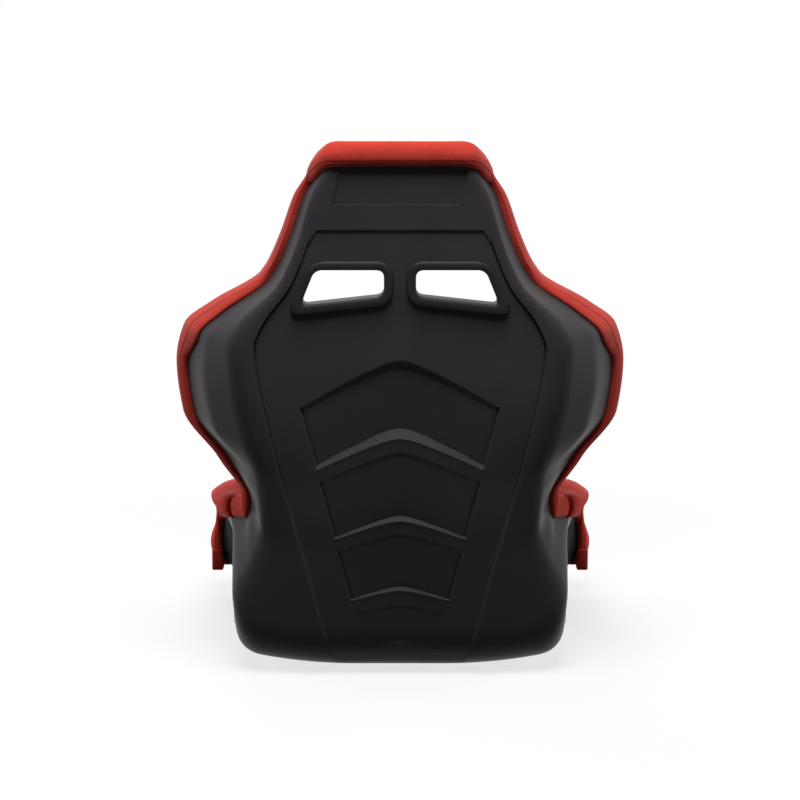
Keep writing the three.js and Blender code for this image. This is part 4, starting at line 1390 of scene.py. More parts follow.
@dataclass
class Shell:
    """The moulded bucket shell with its panel, pockets, slots and insert holes."""

    wall: float = SHELL_WALL
    row_step: float = 7.0
    top_rows: tuple[float, float, int] = (-0.3, 0.9, 9)
    ledge_rows: int = 5
    below_ledge: tuple[float, ...] = (12, 8, 5, 3, 1.5, 0.6)
    below_top: tuple[float, ...] = (13, 11, 9, 7, 5, 3, 1.5, 0, -1.5)
    plate_place: float = along("head", 0.847)
    plate_half: float = 79.0
    plate_rise: float = 21.0
    plate_slant: float = 5.0
    plate_depth: float = 2.6
    plate_round: float = 2.0
    plate_reach: float = 20.0

    def columns(self) -> Array:
        """Spreads the lengthwise lines of the mesh, closer together where the surface bends.

        Returns:
            The lines, from right to left.
        """
        half = spread(
            [
                (0, 0), (0.3, 6), (0.9, 7), (1, 2), (1.9, 9), (2, 1), (2.6, 3), (3, 6),
                (3.7, 8), (4, 1), (5, 6), (8, 12), (9, 7), (10, 6), (11, 6), (12, 4),
            ]
        )
        return np.concatenate([-half[:0:-1], half])

    def rows(self) -> Array:
        """Spreads the crosswise lines of the mesh, closer together at the ledges and the panel's top.

        Returns:
            The lines, in order.
        """
        relief = SURFACE.relief
        fine = [relief.panel_top + relief.panel_edge * t for t in np.linspace(*self.top_rows)]
        for pocket in relief.pockets:
            fine += [pocket.ledge - step for step in self.below_ledge]
            fine += list(pocket.ledge + pocket.run * np.linspace(0, 1, self.ledge_rows))
            fine += [pocket.ledge + pocket.run + 1]
            fine += [pocket.top - step for step in self.below_top]
        fine = np.array(sorted(fine))
        coarse = np.linspace(0, SPINE.length, int(SPINE.length / self.row_step) + 1)
        apart = np.min(np.abs(coarse[:, None] - fine[None]), 1) > self.row_step / 3
        keep = coarse[apart | (coarse == 0) | (coarse == coarse[-1])]
        return np.unique(np.concatenate([keep, fine]))

    def plate(self) -> Outline:
        """Lays out the bare recessed plate at the head.

        Returns:
            Its outline.
        """
        y, z, heading = (float(v[0]) for v in SPINE.at(np.array([self.plate_place])))
        ahead = (0.0, math.cos(heading), math.sin(heading))
        inward = (0.0, -math.sin(heading), math.cos(heading))
        half, rise, slant = self.plate_half, self.plate_rise, self.plate_slant
        low = ((-half + slant, -rise), (half + slant, -rise))
        high = ((half - slant, rise), (-half - slant, rise))
        return Outline(low + high, (0.0, y, z), RIGHTWARD, ahead, inward, radius=self.plate_round)

    def tools(self) -> list[bpy.types.Object]:
        """Makes the solids that open the slots, the insert holes and the head's recess.

        Returns:
            The solids to cut from the shell.
        """
        through = (SlotPlaces.room, SlotPlaces.outside, SlotPlaces.past_shell)
        tools = [SlotPlaces.crotch().tool(*through)]
        tools.append(self.plate().tool(0, -self.plate_reach, self.plate_depth))
        for side in SIDES.values():
            tools += [SlotPlaces.shoulder(side).tool(*through), SlotPlaces.lap(side).tool(*through)]
            tools += [Insert(side, y).hole() for y in MOUNT_YS.values()]
        return tools

    def build(self) -> bpy.types.Object:
        """Builds the shell.

        Returns:
            The finished piece.
        """
        u, s = np.meshgrid(self.columns(), self.rows())
        piece = grid_piece("moulded_shell", SURFACE.inside(u, s, SURFACE.relief.depth(u, s)))
        apply_modifier(piece, "SOLIDIFY", thickness=self.wall * MM, offset=1, use_even_offset=False)
        edit(piece, merge_doubles, outward)
        cut_away(piece, self.tools())
        shade(piece, angle=30)
        dress(piece, Finishes.gelcoat)
        panels = ["shell_pan", "shell_back", "shell_head"]
        panels += [f"shell_{part}_{name}" for part in ("wall", "wing") for name in SIDES]
        return mount_piece(piece, Body.SEAT, Slot.GELCOAT, panels)


# ---- Mounts ----

MOUNT_HALF = 145.0
MOUNT_HEIGHT = 69.0
MOUNT_YS = {"rear": MOUNT_HALF, "front": -MOUNT_HALF}


@dataclass(frozen=True)
class Insert:
    """A threaded insert in a side wall."""

    side: int
    y: float
    height: float = MOUNT_HEIGHT
    hole_radius: float = 8.4
    hole_length: float = 40.0
    bore: float = 3.4
    thread_out: float = 3.9
    thread_top: float = 0.9
    thread_drop: float = 0.6
    pitch: float = 1.25
    turns: int = 4
    steps: int = 48

    def spun(self, name: str, outline: Sequence[Place]) -> bpy.types.Object:
        """Makes a turned ring about the mount's axis.

        Args:
            name: The piece's name.
            outline: Its section as radius and distance outwards from the wall.

        Returns:
            The closed ring.
        """
        turn = np.linspace(0, 2 * math.pi, self.steps + 1)
        section = np.array(outline, float)
        out = self.side * (WALL + section[:, 1])
        y = self.y + np.cos(turn)[:, None] * section[None, :, 0]
        z = self.height + np.sin(turn)[:, None] * section[None, :, 0]
        return loop_piece(name, np.stack([np.broadcast_to(out, y.shape), y, z], -1))

    def hole(self) -> bpy.types.Object:
        """Makes the solid that opens the wall for the insert.

        Returns:
            A cylinder across the wall.
        """
        deselect()
        place = Vector((self.side * WALL, self.y, self.height)) * MM
        size = {"radius": self.hole_radius * MM, "depth": self.hole_length * MM, "vertices": self.steps}
        bpy.ops.mesh.primitive_cylinder_add(**size, location=place, rotation=(0, math.pi / 2, 0))
        return bpy.context.active_object

    def section(self) -> list[Place]:
        """Lays out the insert's section, with its thread and chamfers.

        Returns:
            Its points as radius and distance outwards from the wall.
        """
        thread = []
        for k in range(self.turns):
            top = self.thread_top - k * self.pitch
            thread += [(self.thread_out, top), (self.bore, top - self.thread_drop)]
        sleeve = [(self.bore, -SHELL_WALL), (7.6, -SHELL_WALL), (8, -4.1), (8, 0.4)]
        flange = [(12.6, 0.4), (13, 0.8), (13, 1.8), (12.4, 2.4)]
        dish = [(9.2, 2.4), (8.9, 2.1), (6.2, 2.1), (5.9, 2.4)]
        return sleeve + flange + dish + [(4.6, 2.4), (self.thread_out, 1.7)] + thread

    def build(self, name: str, node: str) -> bpy.types.Object:
        """Builds the insert.

        Args:
            name: The piece's name.
            node: The frame's node that it stands for.

        Returns:
            The finished piece.
        """
        piece = self.spun(name, self.section())
        shade(piece, angle=30)
        dress(piece, Finishes.steel)
        return mount_piece(piece, Body.SEAT, Slot.STEEL, [node])


# ---- Slot trims ----

SHOULDER_BEAD = 12.0


class TrimPart(Enum):
    """The mouldings round a belt slot."""

    OUTER = "trim"
    INNER = "bezel"
    CROTCH = "crotch"


@dataclass(frozen=True)
class SlotTrim:
    """A rolled bezel and sleeve round a belt slot."""

    outline: Outline
    shell_face: float
    lining_face: float
    bead: float
    bead_height: float
    gap: float = SlotPlaces.gap
    sleeve: float = SlotPlaces.sleeve_wall
    chamfer: float = 0.5
    foot: float = 1.0
    squareness: float = -0.15
    fullness: float = 0.8
    roll_steps: int = 12

    def roll(self, start: float, out: float) -> list[Place]:
        """Gives a bead's rolled face, from the slot's mouth to its outer foot.

        Args:
            start: The depth of the bead's foot.
            out: The direction in which it rises, -1 or 1.

        Returns:
            Its growth and depth, point by point.
        """
        turn = np.linspace(math.pi, 0, self.roll_steps)
        growth = self.bead / 2 * (1 + np.cos(turn) * np.abs(np.cos(turn)) ** self.squareness)
        rise = np.sin(turn) ** self.fullness * (self.bead_height - self.foot) + self.foot
        return [(float(max(g, 0.0)), float(start + out * h)) for g, h in zip(growth, rise)]

    def section(self, part: TrimPart) -> list[Place]:
        """Lays out a moulding's section.

        Args:
            part: Which moulding.

        Returns:
            Its points as growth from the outline and depth through the slot.
        """
        back = self.shell_face - self.gap
        front = self.lining_face + self.gap
        if part is TrimPart.OUTER:
            cut = self.chamfer
            tail = [(self.bead, back), (self.sleeve, back), (self.sleeve, front - cut)]
            tail += [(self.sleeve - cut, front), (cut, front), (0.0, front - cut)]
            return self.roll(back, -1) + tail
        if part is TrimPart.INNER:
            inner = self.sleeve + self.gap
            face = [(max(g, inner), h) for g, h in self.roll(front, 1)]
            return [(inner, front)] + face + [(self.bead, front)]
        face = self.roll(front, 1)
        return face + [(self.bead, front), (self.sleeve, front), (self.sleeve, self.gap), (0.0, self.gap)]

    def build(self, name: str, part: TrimPart, node: str) -> bpy.types.Object:
        """Builds one moulding.

        Args:
            name: The piece's name.
            part: Which moulding.
            node: The frame's node that it stands for.

        Returns:
            The finished piece.
        """
        section = self.section(part)
        rings = [self.outline.place(self.outline.ring(g), h) for g, h in section]
        around = np.swapaxes(np.array(rings), 0, 1)
        piece = loop_piece(name, np.concatenate([around, around[:1]], 0))
        shade(piece, angle=40)
        dress(piece, Finishes.trim)
        return mount_piece(piece, Body.SEAT, Slot.TRIM, [node])


# ---- Rolled covers ----

COVER_LEG = 26.0
TOP_SEAM = SPINE.length - COVER_LEG
HIP_SEAM = (along("heel", 0.75) + along("lumbar", 0.22)) / 2
NECK_SEAM = along("head", 0.35)
CORNER_RUN = 1.5 * COVER_LEG
END_REACH = 4.0
EDGE_ACROSS = (0.2, 0.0)
EDGE_ALONG = (0.0, 4.0)
NO_LENGTH = 1e-9


@dataclass(frozen=True)
class Stop:
    """A place on the shell's edge, as lines u and s, with the inner border of the cover's leg there.

    The run is a step along the edge's course, the fill is how far the cover reaches towards the lining, and
    the width scales its outer leg.
    """

    edge: Place
    leg: Place
    run: Place
    fill: float = 1.0
    width: float = 1.0

    def away(self) -> Array:
        """Works out the direction that points past the edge, square to its course.

        Returns:
            A vector of length 1.
        """
        (u, s), (du, ds) = self.edge, self.run
        course = SURFACE.point(Face.OUTER, u + du, s + ds) - SURFACE.point(Face.OUTER, u - du, s - ds)
        course = course / max(np.linalg.norm(course), NO_LENGTH)
        away = SURFACE.point(Face.OUTER, u, s) - SURFACE.point(Face.OUTER, *self.leg)
        away = away - course * away.dot(course)
        return away / np.linalg.norm(away)


@dataclass(frozen=True)
class LegWidth:
    """How wide the covers' outer leg is, as a scale of its plain width."""

    plain: float = 1.0
    side: float = 1.15
    shoulder_gain: float = 1.35
    shoulder_run: Place = (along("head", -0.02), along("head", 0.14))
    neck_loss: float = 0.6
    neck_run: Place = (along("head", 0.35), along("head", 0.5))
    top_gain: float = 0.9
    corner: float = 1.9

    def on_side(self, s: float) -> float:
        """Gives the width at a place on the side edge: wide on the shoulder, less so at the neck."""
        shoulder, neck = smooth(s, *self.shoulder_run), smooth(s, *self.neck_run)
        return float(self.side + self.shoulder_gain * shoulder - self.neck_loss * neck)

    def on_top(self, u: float) -> float:
        """Gives the width at a place on the top edge, wider towards its corners."""
        return self.plain + self.top_gain * float(smooth(abs(u), Line.CORNER, Line.FLARE))


LEG_WIDTH = LegWidth()


def side_stops(side: int, start: float, end: float, step: float = 8.0) -> list[Stop]:
    """Lists the stops along one side's edge.

    Args:
        side: 1 on the left and -1 on the right.
        start: The first place along the edge.
        end: The last place.
        step: About how far apart the stops are.

    Returns:
        The stops, in order.
    """
    found = []
    for s in np.linspace(start, end, max(int((end - start) / step), 2) + 1):
        lead = EDGE_ACROSS if s < END_REACH or s > SPINE.length - END_REACH else EDGE_ALONG
        edge, leg = (side * Line.RIM, s), (side * Line.COVER, s)
        found.append(Stop(edge, leg, lead, width=LEG_WIDTH.on_side(s)))
    return found


@dataclass(frozen=True)
class RollShape:
    """The section of a rolled cover."""

    foam: float = 9.0
    cap: float = 13.0
    wall: float = SHELL_WALL
    skin: float = 0.3
    round_end: float = 7.0
    steps: int = 3
    drift: float = 0.35
    drift_size: float = 38.0
    drift_way: Place3 = (0.4, 0.6, 0.6)

    def controls(self) -> Array:
        """Gives the section's points in pairs: its face and, behind it, the shell.

        Returns:
            For each point the share from the leg's border to the edge, the length past the edge, the depth
            inside the outer face and the share of the way to the lining; first the face's, then the shell's.
        """

        def leg(d: float) -> float:
            """Gives the share at a distance from the edge."""
            return 1 - d / COVER_LEG

        f, c, w = self.foam, self.cap, self.wall
        out, inside, lip = -self.skin, w + self.skin, self.skin
        pairs = [
            ((leg(17.0), 0, out, 0), (leg(17.0), 0, out, 0)),
            ((leg(17.2), 0, -0.3 * f, 0), (leg(16.5), 0, out, 0)),
            ((leg(16.0), 0, -0.58 * f, 0), (leg(15.5), 0, out, 0)),
            ((leg(13.2), 0, -0.82 * f, 0), (leg(13.0), 0, out, 0)),
            ((leg(10.8), 0, -0.93 * f, 0), (leg(10.5), 0, out, 0)),
            ((leg(10.2), 0, -0.88 * f, 0), (leg(10.2), 0, out, 0)),
            ((leg(9.5), 0, -1.0 * f, 0), (leg(9.5), 0, out, 0)),
            ((leg(6.0), 0, -1.08 * f, 0), (leg(6.0), 0, out, 0)),
            ((1, 0, -1.05 * f, 0), (1, 0, out, 0)),
            ((1, 0.42 * c, -0.88 * f, 0), (1, lip, out, 0)),
            ((1, 0.82 * c, -0.5 * f, 0), (1, lip, 0.2 * w, 0)),
            ((1, 0.99 * c, 0.0, 0), (1, lip, 0.5 * w, 0)),
            ((1, 0.98 * c, 0.7 * w, 0.15), (1, lip, 0.8 * w, 0)),
            ((1, 0.84 * c, w, 0.42), (1, lip, inside, 0)),
            ((1, 0.5 * c, w, 0.75), (0.95, 0, inside, 0)),
            ((1, 0.12 * c, w, 0.97), (0.85, 0, inside, 0)),
            ((0.8, 0, w, 1), (0.65, 0, inside, 0)),
            ((0.35, 0, w, 1), (0.35, 0, inside, 0)),
            ((0.1, 0, w, 0.88), (0.1, 0, inside, 0)),
            ((0.02, 0, w, 0.5), (0.02, 0, inside, 0)),
            ((0.02, 0, inside, 0), (0.02, 0, inside, 0)),
        ]
        return np.array(pairs, float)

    def dense(self) -> tuple[Array, Array]:
        """Fills in between the section's points.

        Returns:
            The face's points on a smooth curve and the shell's on straight lines.
        """
        pairs = self.controls()
        face, back = pairs[:, 0], pairs[:, 1]
        t = np.linspace(0, len(pairs) - 1, (len(pairs) - 1) * self.steps + 1)
        k = np.minimum(t.astype(int), len(pairs) - 2)
        share = (t - k)[:, None]
        before, after = face[np.maximum(k - 1, 0)], face[np.minimum(k + 2, len(pairs) - 1)]
        a, b = face[k], face[k + 1]
        square = 2 * before - 5 * a + 4 * b - after
        cube = 3 * (a - b) + after - before
        curve = a + 0.5 * share * ((b - before) + share * (square + share * cube))
        return curve, mix(back[k], back[k + 1], share)


class Roll:
    """A cover that is rolled round a run of the shell's edge."""

    turn_passes = 8
    seam = 1.3
    end_steps = (0, 0.4, 1.2, 2.4, 4.2, 6.6)
    outer_depth = 0.5

    def __init__(self, stops: Sequence[Stop], shape: RollShape, step: float = 6.0) -> None:
        """Spreads stops evenly along the run.

        Args:
            stops: The run's places.
            shape: The cover's section.
            step: How far apart the mesh's sections are, in millimetres.
        """
        self.shape = shape
        keys = np.array([(*one.edge, *one.leg, one.fill, one.width, *one.away()) for one in stops])
        edge = SURFACE.point(Face.OUTER, keys[:, 0], keys[:, 1])
        run = np.concatenate([[0], np.cumsum(np.linalg.norm(np.diff(edge, axis=0), axis=1))])
        ends = np.array(self.end_steps)
        self.length = run[-1] - 2 * self.seam
        inner = np.linspace(ends[-1], self.length - ends[-1], max(int(run[-1] / step), 4))[1:-1]
        self.run = np.concatenate([ends, inner, self.length - ends[::-1]])
        table = np.stack([np.interp(self.run + self.seam, run, column) for column in keys.T], -1)
        turning = table[:, 2:]  # the leg's border, fill, width and direction; the edge itself stays
        for _ in range(self.turn_passes):
            turning[1:-1] = (turning[:-2] + 2 * turning[1:-1] + turning[2:]) / 4
        self.table = table
        away = table[:, 6:]
        self.away = away / np.linalg.norm(away, axis=1, keepdims=True)

    def points(self, section: Array) -> Array:
        """Places a section at every stop.

        Args:
            section: The section's points, as RollShape.controls gives them.

        Returns:
            The places in millimetres, by stop and point.
        """
        ahead, beyond, depth, share = (column[None] for column in section.T)
        edge_u, edge_s, leg_u, leg_s, fill, width = (self.table[:, k : k + 1] for k in range(6))
        ahead = np.minimum(np.where(depth < self.outer_depth, 1 - (1 - ahead) * width, ahead), 1)
        u, s = mix(leg_u, edge_u, ahead), mix(leg_s, edge_s, ahead)
        place = SURFACE.inside(u, s, np.broadcast_to(depth, u.shape))
        lining = SURFACE.point(Face.LINING, u, s)
        place = mix(place, lining, (share * fill)[..., None])
        return place + self.away[:, None] * beyond[..., None]

    def rings(self) -> Array:
        """Works out the closed sections, which thin out to nothing at both ends.

        Returns:
            Their places in millimetres, by section and point.
        """
        face, back = self.shape.dense()
        near, far = self.points(back), self.points(face)
        push = drift(far, self.shape.drift_size, self.shape.drift, 0.0)[..., None]
        far = far + push * np.array(self.shape.drift_way)
        reach = np.minimum(self.run, self.length - self.run) / self.shape.round_end
        grow = np.sqrt(np.clip(1 - (1 - np.minimum(reach, 1)) ** 2, 0, 1))
        far = near + (far - near) * grow[:, None, None]
        return np.concatenate([far, near[:, ::-1]], 1)

    def build(self, name: str, first: int = 0, last: int | None = None) -> bpy.types.Object:
        """Builds the closed shape of the cover or of a part of its run.

        Args:
            name: The piece's name.
            first: The part's first section.
            last: The part's last section; the run's last one when left out.

        Returns:
            The piece, closed flat at both ends.
        """
        rings = self.rings()
        rings = rings[first : (len(rings) - 1 if last is None else last) + 1]
        back = rings[:, rings.shape[1] // 2 :]
        closed = np.concatenate([back[:, ::-1], back], 1)
        piece = loop_piece(name, np.concatenate([closed[:1], rings, closed[-1:]]))
        shade(piece, angle=35)
        dress(piece, Finishes.red_cloth)
        return piece


@dataclass(frozen=True)
class Covers:
    """The red rolled covers round the shell's edge, in one run over the head and one on each thigh."""

    end_fill: float = 0.55
    corner_fill: float = 0.8
    lip_fill: float = 0.5
    padding: float = 0.8
    tail_padding: float = 0.9
    side_shape: RollShape = field(default_factory=RollShape)
    lip_shape: RollShape = field(default_factory=lambda: RollShape(foam=3.5, cap=8.0))
    top_lines: tuple[float, ...] = (1.0, 2.0, 3.0, 4.0, 5.0, 7.0, 8.0, 9.0, 10.0)
    thigh_lines: tuple[float, ...] = (5.0, 6.0, 7.0, 8.0, 9.0, 10.0)
    lip_stops: int = 15
    tail_out: float = 8.0
    tail_width: float = 17.0
    tail_chamfer: float = 10.0
    tail_front: float = 10.0
    tail_back: float = 17.0
    tail_hang: float = 20.0
    tail_round: float = 3.5

    def top_stop(self, u: float) -> Stop:
        """Gives a stop on the top edge."""
        return Stop((u, SPINE.length), (u, TOP_SEAM), EDGE_ACROSS, self.end_fill, LEG_WIDTH.on_top(u))

    def front_stop(self, u: float, fill: float) -> Stop:
        """Gives a stop on the front lip."""
        return Stop((u, 0.0), (u, COVER_LEG), EDGE_ACROSS, fill)

    def corner(self, side: int, end: float, border: float) -> Stop:
        """Makes the stop at a corner of the shell's edge.

        Args:
            side: 1 on the left and -1 on the right.
            end: The crosswise line of the shell's end.
            border: The crosswise line where the cover's leg ends.

        Returns:
            The stop, whose leg is wide at the head and plain at the front.
        """
        edge, leg = (side * Line.RIM, end), (side * Line.COVER, border)
        width = LEG_WIDTH.corner if end else LEG_WIDTH.plain
        return Stop(edge, leg, (0.0, 0.0), self.corner_fill, width)

    def body(self) -> None:
        """Builds the three covers that run from one hip over the head to the other hip."""
        up_to = SPINE.length - CORNER_RUN
        rising, falling = side_stops(-1, HIP_SEAM, up_to), side_stops(1, HIP_SEAM, up_to)[::-1]
        lines = [*(-u for u in self.top_lines[::-1]), 0.0, *self.top_lines]
        across = [self.top_stop(u) for u in lines]
        corners = [self.corner(side, SPINE.length, TOP_SEAM) for side in (-1, 1)]
        stops = [*rising, corners[0], *across, corners[1], *falling]
        roll = Roll(stops, self.side_shape)
        start, end = np.flatnonzero(roll.table[:, 1] > NECK_SEAM)[[0, -1]]
        parts = {"side_cover_right": (0, start), "head_cover": (start, end), "side_cover_left": (end, None)}
        for node, (first, last) in parts.items():
            piece = roll.build(node.replace("cover", "roll"), first, last)
            mount_piece(piece, Body.SEAT, Slot.RED, [node], fill=self.padding)

    def thigh(self, name: str, side: int) -> None:
        """Builds a thigh's cover, up the wall's front edge and back along its rim.

        Args:
            name: The side's name.
            side: 1 on the left and -1 on the right.
        """
        front = [self.front_stop(side * u, self.end_fill) for u in self.thigh_lines]
        stops = [*front, self.corner(side, 0.0, COVER_LEG), *side_stops(side, CORNER_RUN, HIP_SEAM)]
        piece = Roll(stops, self.side_shape).build("thigh_roll_" + name)
        mount_piece(piece, Body.SEAT, Slot.RED, ["thigh_cover_" + name], fill=self.padding)

    def tail_outline(self, side: int, edge: Array) -> Outline:
        """Lays out a thigh cover's hanging end from above, with a cut corner in front.

        Args:
            side: 1 on the left and -1 on the right.
            edge: The place of the wall's front edge on the left.

        Returns:
            Its outline.
        """
        outer, y = float(edge[0]) + self.tail_out, float(edge[1])
        inner, cut = outer - self.tail_width, outer - self.tail_chamfer
        front, back = y - self.tail_front, y + self.tail_back
        corners = [(inner, back), (inner, front), (cut, front), (outer, y), (outer, back)]
        axes = (RIGHTWARD, BACKWARD, UPWARD)
        return Outline(mirrored(corners, side), (0.0, 0.0, 0.0), *axes, radius=self.tail_round)

    def tail(self, name: str, side: int) -> None:
        """Builds the hanging end of a thigh cover, a strip that is cut off square.

        Args:
            name: The side's name.
            side: 1 on the left and -1 on the right.
        """
        edge = SURFACE.point(Face.OUTER, Line.CORNER, 0.0)
        outline = self.tail_outline(side, edge)
        low = float(SURFACE.point(Face.OUTER, Line.FLOOR, 0.0)[2]) - self.tail_hang
        high = float(edge[2])
        bottom = [(-4, low), (-1.6, low + 0.1), (-0.5, low + 0.7), (0, low + 1.8)]
        top = [(0, high - 2), (-0.6, high - 0.6), (-2, high)]
        rings = [outline.place(outline.ring(grow), z) for grow, z in bottom + top]
        first, last = (np.broadcast_to(ring.mean(0), ring.shape) for ring in (rings[0], rings[-1]))
        piece = loop_piece("thigh_roll_end_" + name, np.array([first, *rings, last]))
        shade(piece, angle=40)
        dress(piece, Finishes.red_cloth)
        mount_piece(piece, Body.SEAT, Slot.RED, ["thigh_cover_" + name], fill=self.tail_padding)

    def lip(self) -> None:
        """Builds the thin cover in the middle of the front lip."""
        lines = np.linspace(Line.FLOOR, -Line.FLOOR, self.lip_stops)
        stops = [self.front_stop(float(u), self.lip_fill) for u in lines]
        piece = Roll(stops, self.lip_shape).build("lip_roll")
        mount_piece(piece, Body.SEAT, Slot.RED, ["front_lip_cover"], fill=self.padding)

    def build(self) -> None:
        """Builds every cover."""
        self.body()
        self.lip()
        for name, side in SIDES.items():
            self.thigh(name, side)
            self.tail(name, side)


# ---- Glued pads ----

SHEET_GAP = 1e-5


@dataclass(frozen=True)
class Pad:
    """A pad that is glued to the shell: rounded along its seams and full in its middle."""

    name: str
    node: str
    u: Place
    s: Place
    finish: Finish
    slot: Slot
    seam: float = 1.3
    edge_steps: tuple[float, ...] = (0, 0.35, 1.0, 2.1, 3.8, 6.0, 9.0)
    edge_round: float = 7.0
    full_at: float = 34.0
    round_share: float = 0.5
    step: float = 8.0
    fine_lines: int = 90
    fixed: float = 20.0
    wall: float = SHELL_WALL + SlotPlaces.gap
    hollow: float = 42.0
    unevenness: float = 0.8
    pattern: float = 3.0
    uneven_way: Place3 = (0.0, -0.7, 0.7)
    padding: float = 0.85

    def stops(self, length: float) -> Array:
        """Spreads the mesh's lines from one border to the other.

        Args:
            length: How far apart the borders are.

        Returns:
            The lines' distances from the first border, closer together at both.
        """
        near = self.seam + np.array(self.edge_steps)
        count = max(int((length - 2 * near[-1]) / self.step), 2)
        inner = np.linspace(near[-1], length - near[-1], count + 1)[1:-1]
        return np.concatenate([near, inner, length - near[::-1]])

    def grid(self) -> tuple[Array, Array, Array, Array]:
        """Lays out the pad's mesh.

        Returns:
            Its lines u and s, and each place's distance from the borders across and along.
        """
        s = self.s[0] + self.stops(self.s[1] - self.s[0])
        fine = np.linspace(self.u[0], self.u[1], self.fine_lines)
        points = SURFACE.point(Face.LINING, fine[None], s[:, None])
        run = np.cumsum(np.linalg.norm(np.diff(points, axis=1), axis=-1), 1)
        run = np.concatenate([np.zeros((len(s), 1)), run], 1)
        middle = float(run[:, -1].mean())
        shares = self.stops(middle)
        near = np.minimum(shares, middle - shares)
        border = self.seam + self.edge_steps[-1]
        lines, across = [], []
        for row in run:
            scale = (row[-1] - self.fixed) / (middle - self.fixed)
            place = np.where(near <= border, near, border + (near - border) * scale)
            place = np.sort(np.where(shares < middle / 2, place, row[-1] - place))
            lines.append(np.interp(place, row, fine))
            across.append(np.minimum(place, row[-1] - place))
        ahead = np.minimum(s - self.s[0], self.s[1] - s)[:, None]
        u = np.array(lines)
        return u, np.broadcast_to(s[:, None], u.shape), np.array(across), np.broadcast_to(ahead, u.shape)

    def rounded(self, d: Array) -> Array:
        """Gives the pad's round edge at a distance from the border, from 0 to 1."""
        return np.sqrt(np.clip(1 - (1 - np.clip((d - self.seam) / self.edge_round, 0, 1)) ** 2, 0, 1))

    def fullness(self, d: Array) -> Array:
        """Gives how full the pad is at a distance from the border, from 0 to 1."""
        return smooth(d, self.seam, self.full_at)

    def build(self, tools: Sequence[bpy.types.Object] = ()) -> bpy.types.Object:
        """Builds the pad.

        Args:
            tools: Solids to cut from it.

        Returns:
            The finished piece.
        """
        u, s, across, ahead = self.grid()
        back = SURFACE.inside(u, s, SURFACE.relief.depth(u, s) + self.wall)
        face = SURFACE.point(Face.LINING, u, s)
        share = self.round_share * self.rounded(across) * self.rounded(ahead)
        share = share + (1 - self.round_share) * self.fullness(across) * self.fullness(ahead)
        face = mix(back, face, share[..., None])
        push = drift(face, self.hollow, self.unevenness, self.pattern) * share
        face = face + push[..., None] * np.array(self.uneven_way)
        piece = join([grid_piece(self.name, face), grid_piece(self.name + "_back", back)])
        piece.name = piece.data.name = self.name
        edit(piece, lambda: merge_doubles(SHEET_GAP), dissolve_flat, outward)
        right_way_out(piece)
        cut_away(piece, tools)
        shade(piece, angle=50)
        dress(piece, self.finish)
        return mount_piece(piece, Body.SEAT, self.slot, [self.node], fill=self.padding)


@dataclass(frozen=True)
class Pads:
    """The glued linings and bolsters of the seat's inside."""

    pan_seam: float = along("heel", 0.58)
    head_seam: float = along("head", 0.55)
    neck: float = along("head", 0.27)
    bezel_room: float = SHOULDER_BEAD + SlotPlaces.gap
    plate_half: Place = (2.4, MOUNT_HALF + 8 + SlotPlaces.gap)
    plate_deep: float = 2.0
    plate_high: float = 10.4
    plate_round: float = 0.1

    def linings(self) -> None:
        """Builds the black linings of the pan, back and head."""
        through = (SlotPlaces.room, SlotPlaces.outside, SlotPlaces.past_lining)
        floor = (-float(Line.FLOOR), float(Line.FLOOR))
        black = (Finishes.black_cloth, Slot.BLACK)
        crotch = [SlotPlaces.crotch().tool(*through)]
        slots = [SlotPlaces.shoulder(side).tool(*through) for side in SIDES.values()]
        Pad("pan_pad", "pan_lining", floor, (COVER_LEG, self.pan_seam), *black).build(crotch)
        Pad("back_pad", "back_lining", floor, (self.pan_seam, self.head_seam), *black).build(slots)
        Pad("head_pad", "head_lining", floor, (self.head_seam, TOP_SEAM), *black).build()

    def plate_room(self, side: int) -> bpy.types.Object:
        """Makes the room of a mount plate, to cut from the bolster over it.

        Args:
            side: 1 on the left and -1 on the right.

        Returns:
            The solid to cut with.
        """
        x = side * (WALL - SHELL_WALL - SlotPlaces.gap - self.plate_deep)
        corners, place = box_corners(*self.plate_half), (x, 0.0, MOUNT_HEIGHT)
        outline = Outline(corners, place, RIGHTWARD, BACKWARD, UPWARD, radius=self.plate_round)
        return outline.tool(0, -self.plate_high, self.plate_high)

    def bolsters(self, name: str, side: int) -> None:
        """Builds one side's red bolsters.

        Args:
            name: The side's name.
            side: 1 on the left and -1 on the right.
        """
        first, last = sorted((side * float(Line.FLOOR), side * float(Line.COVER)))
        lines = (first, last)
        red = (Finishes.red_cloth, Slot.RED)
        deep = (SlotPlaces.outside, SlotPlaces.past_bolster)
        lap = [SlotPlaces.lap(side).tool(SlotPlaces.room, *deep), self.plate_room(side)]
        beside = [SlotPlaces.shoulder(side).tool(self.bezel_room, *deep)]
        thigh, middle, top = (COVER_LEG, HIP_SEAM), (HIP_SEAM, self.neck), (self.neck, TOP_SEAM)
        Pad("thigh_pad_" + name, "thigh_bolster_" + name, lines, thigh, *red).build(lap)
        Pad("side_pad_" + name, "side_bolster_" + name, lines, middle, *red).build()
        Pad("neck_pad_" + name, "head_bolster_" + name, lines, top, *red).build(beside)

    def build(self) -> None:
        """Builds every pad."""
        self.linings()
        for name, side in SIDES.items():
            self.bolsters(name, side)


# ---- Loose cushions ----


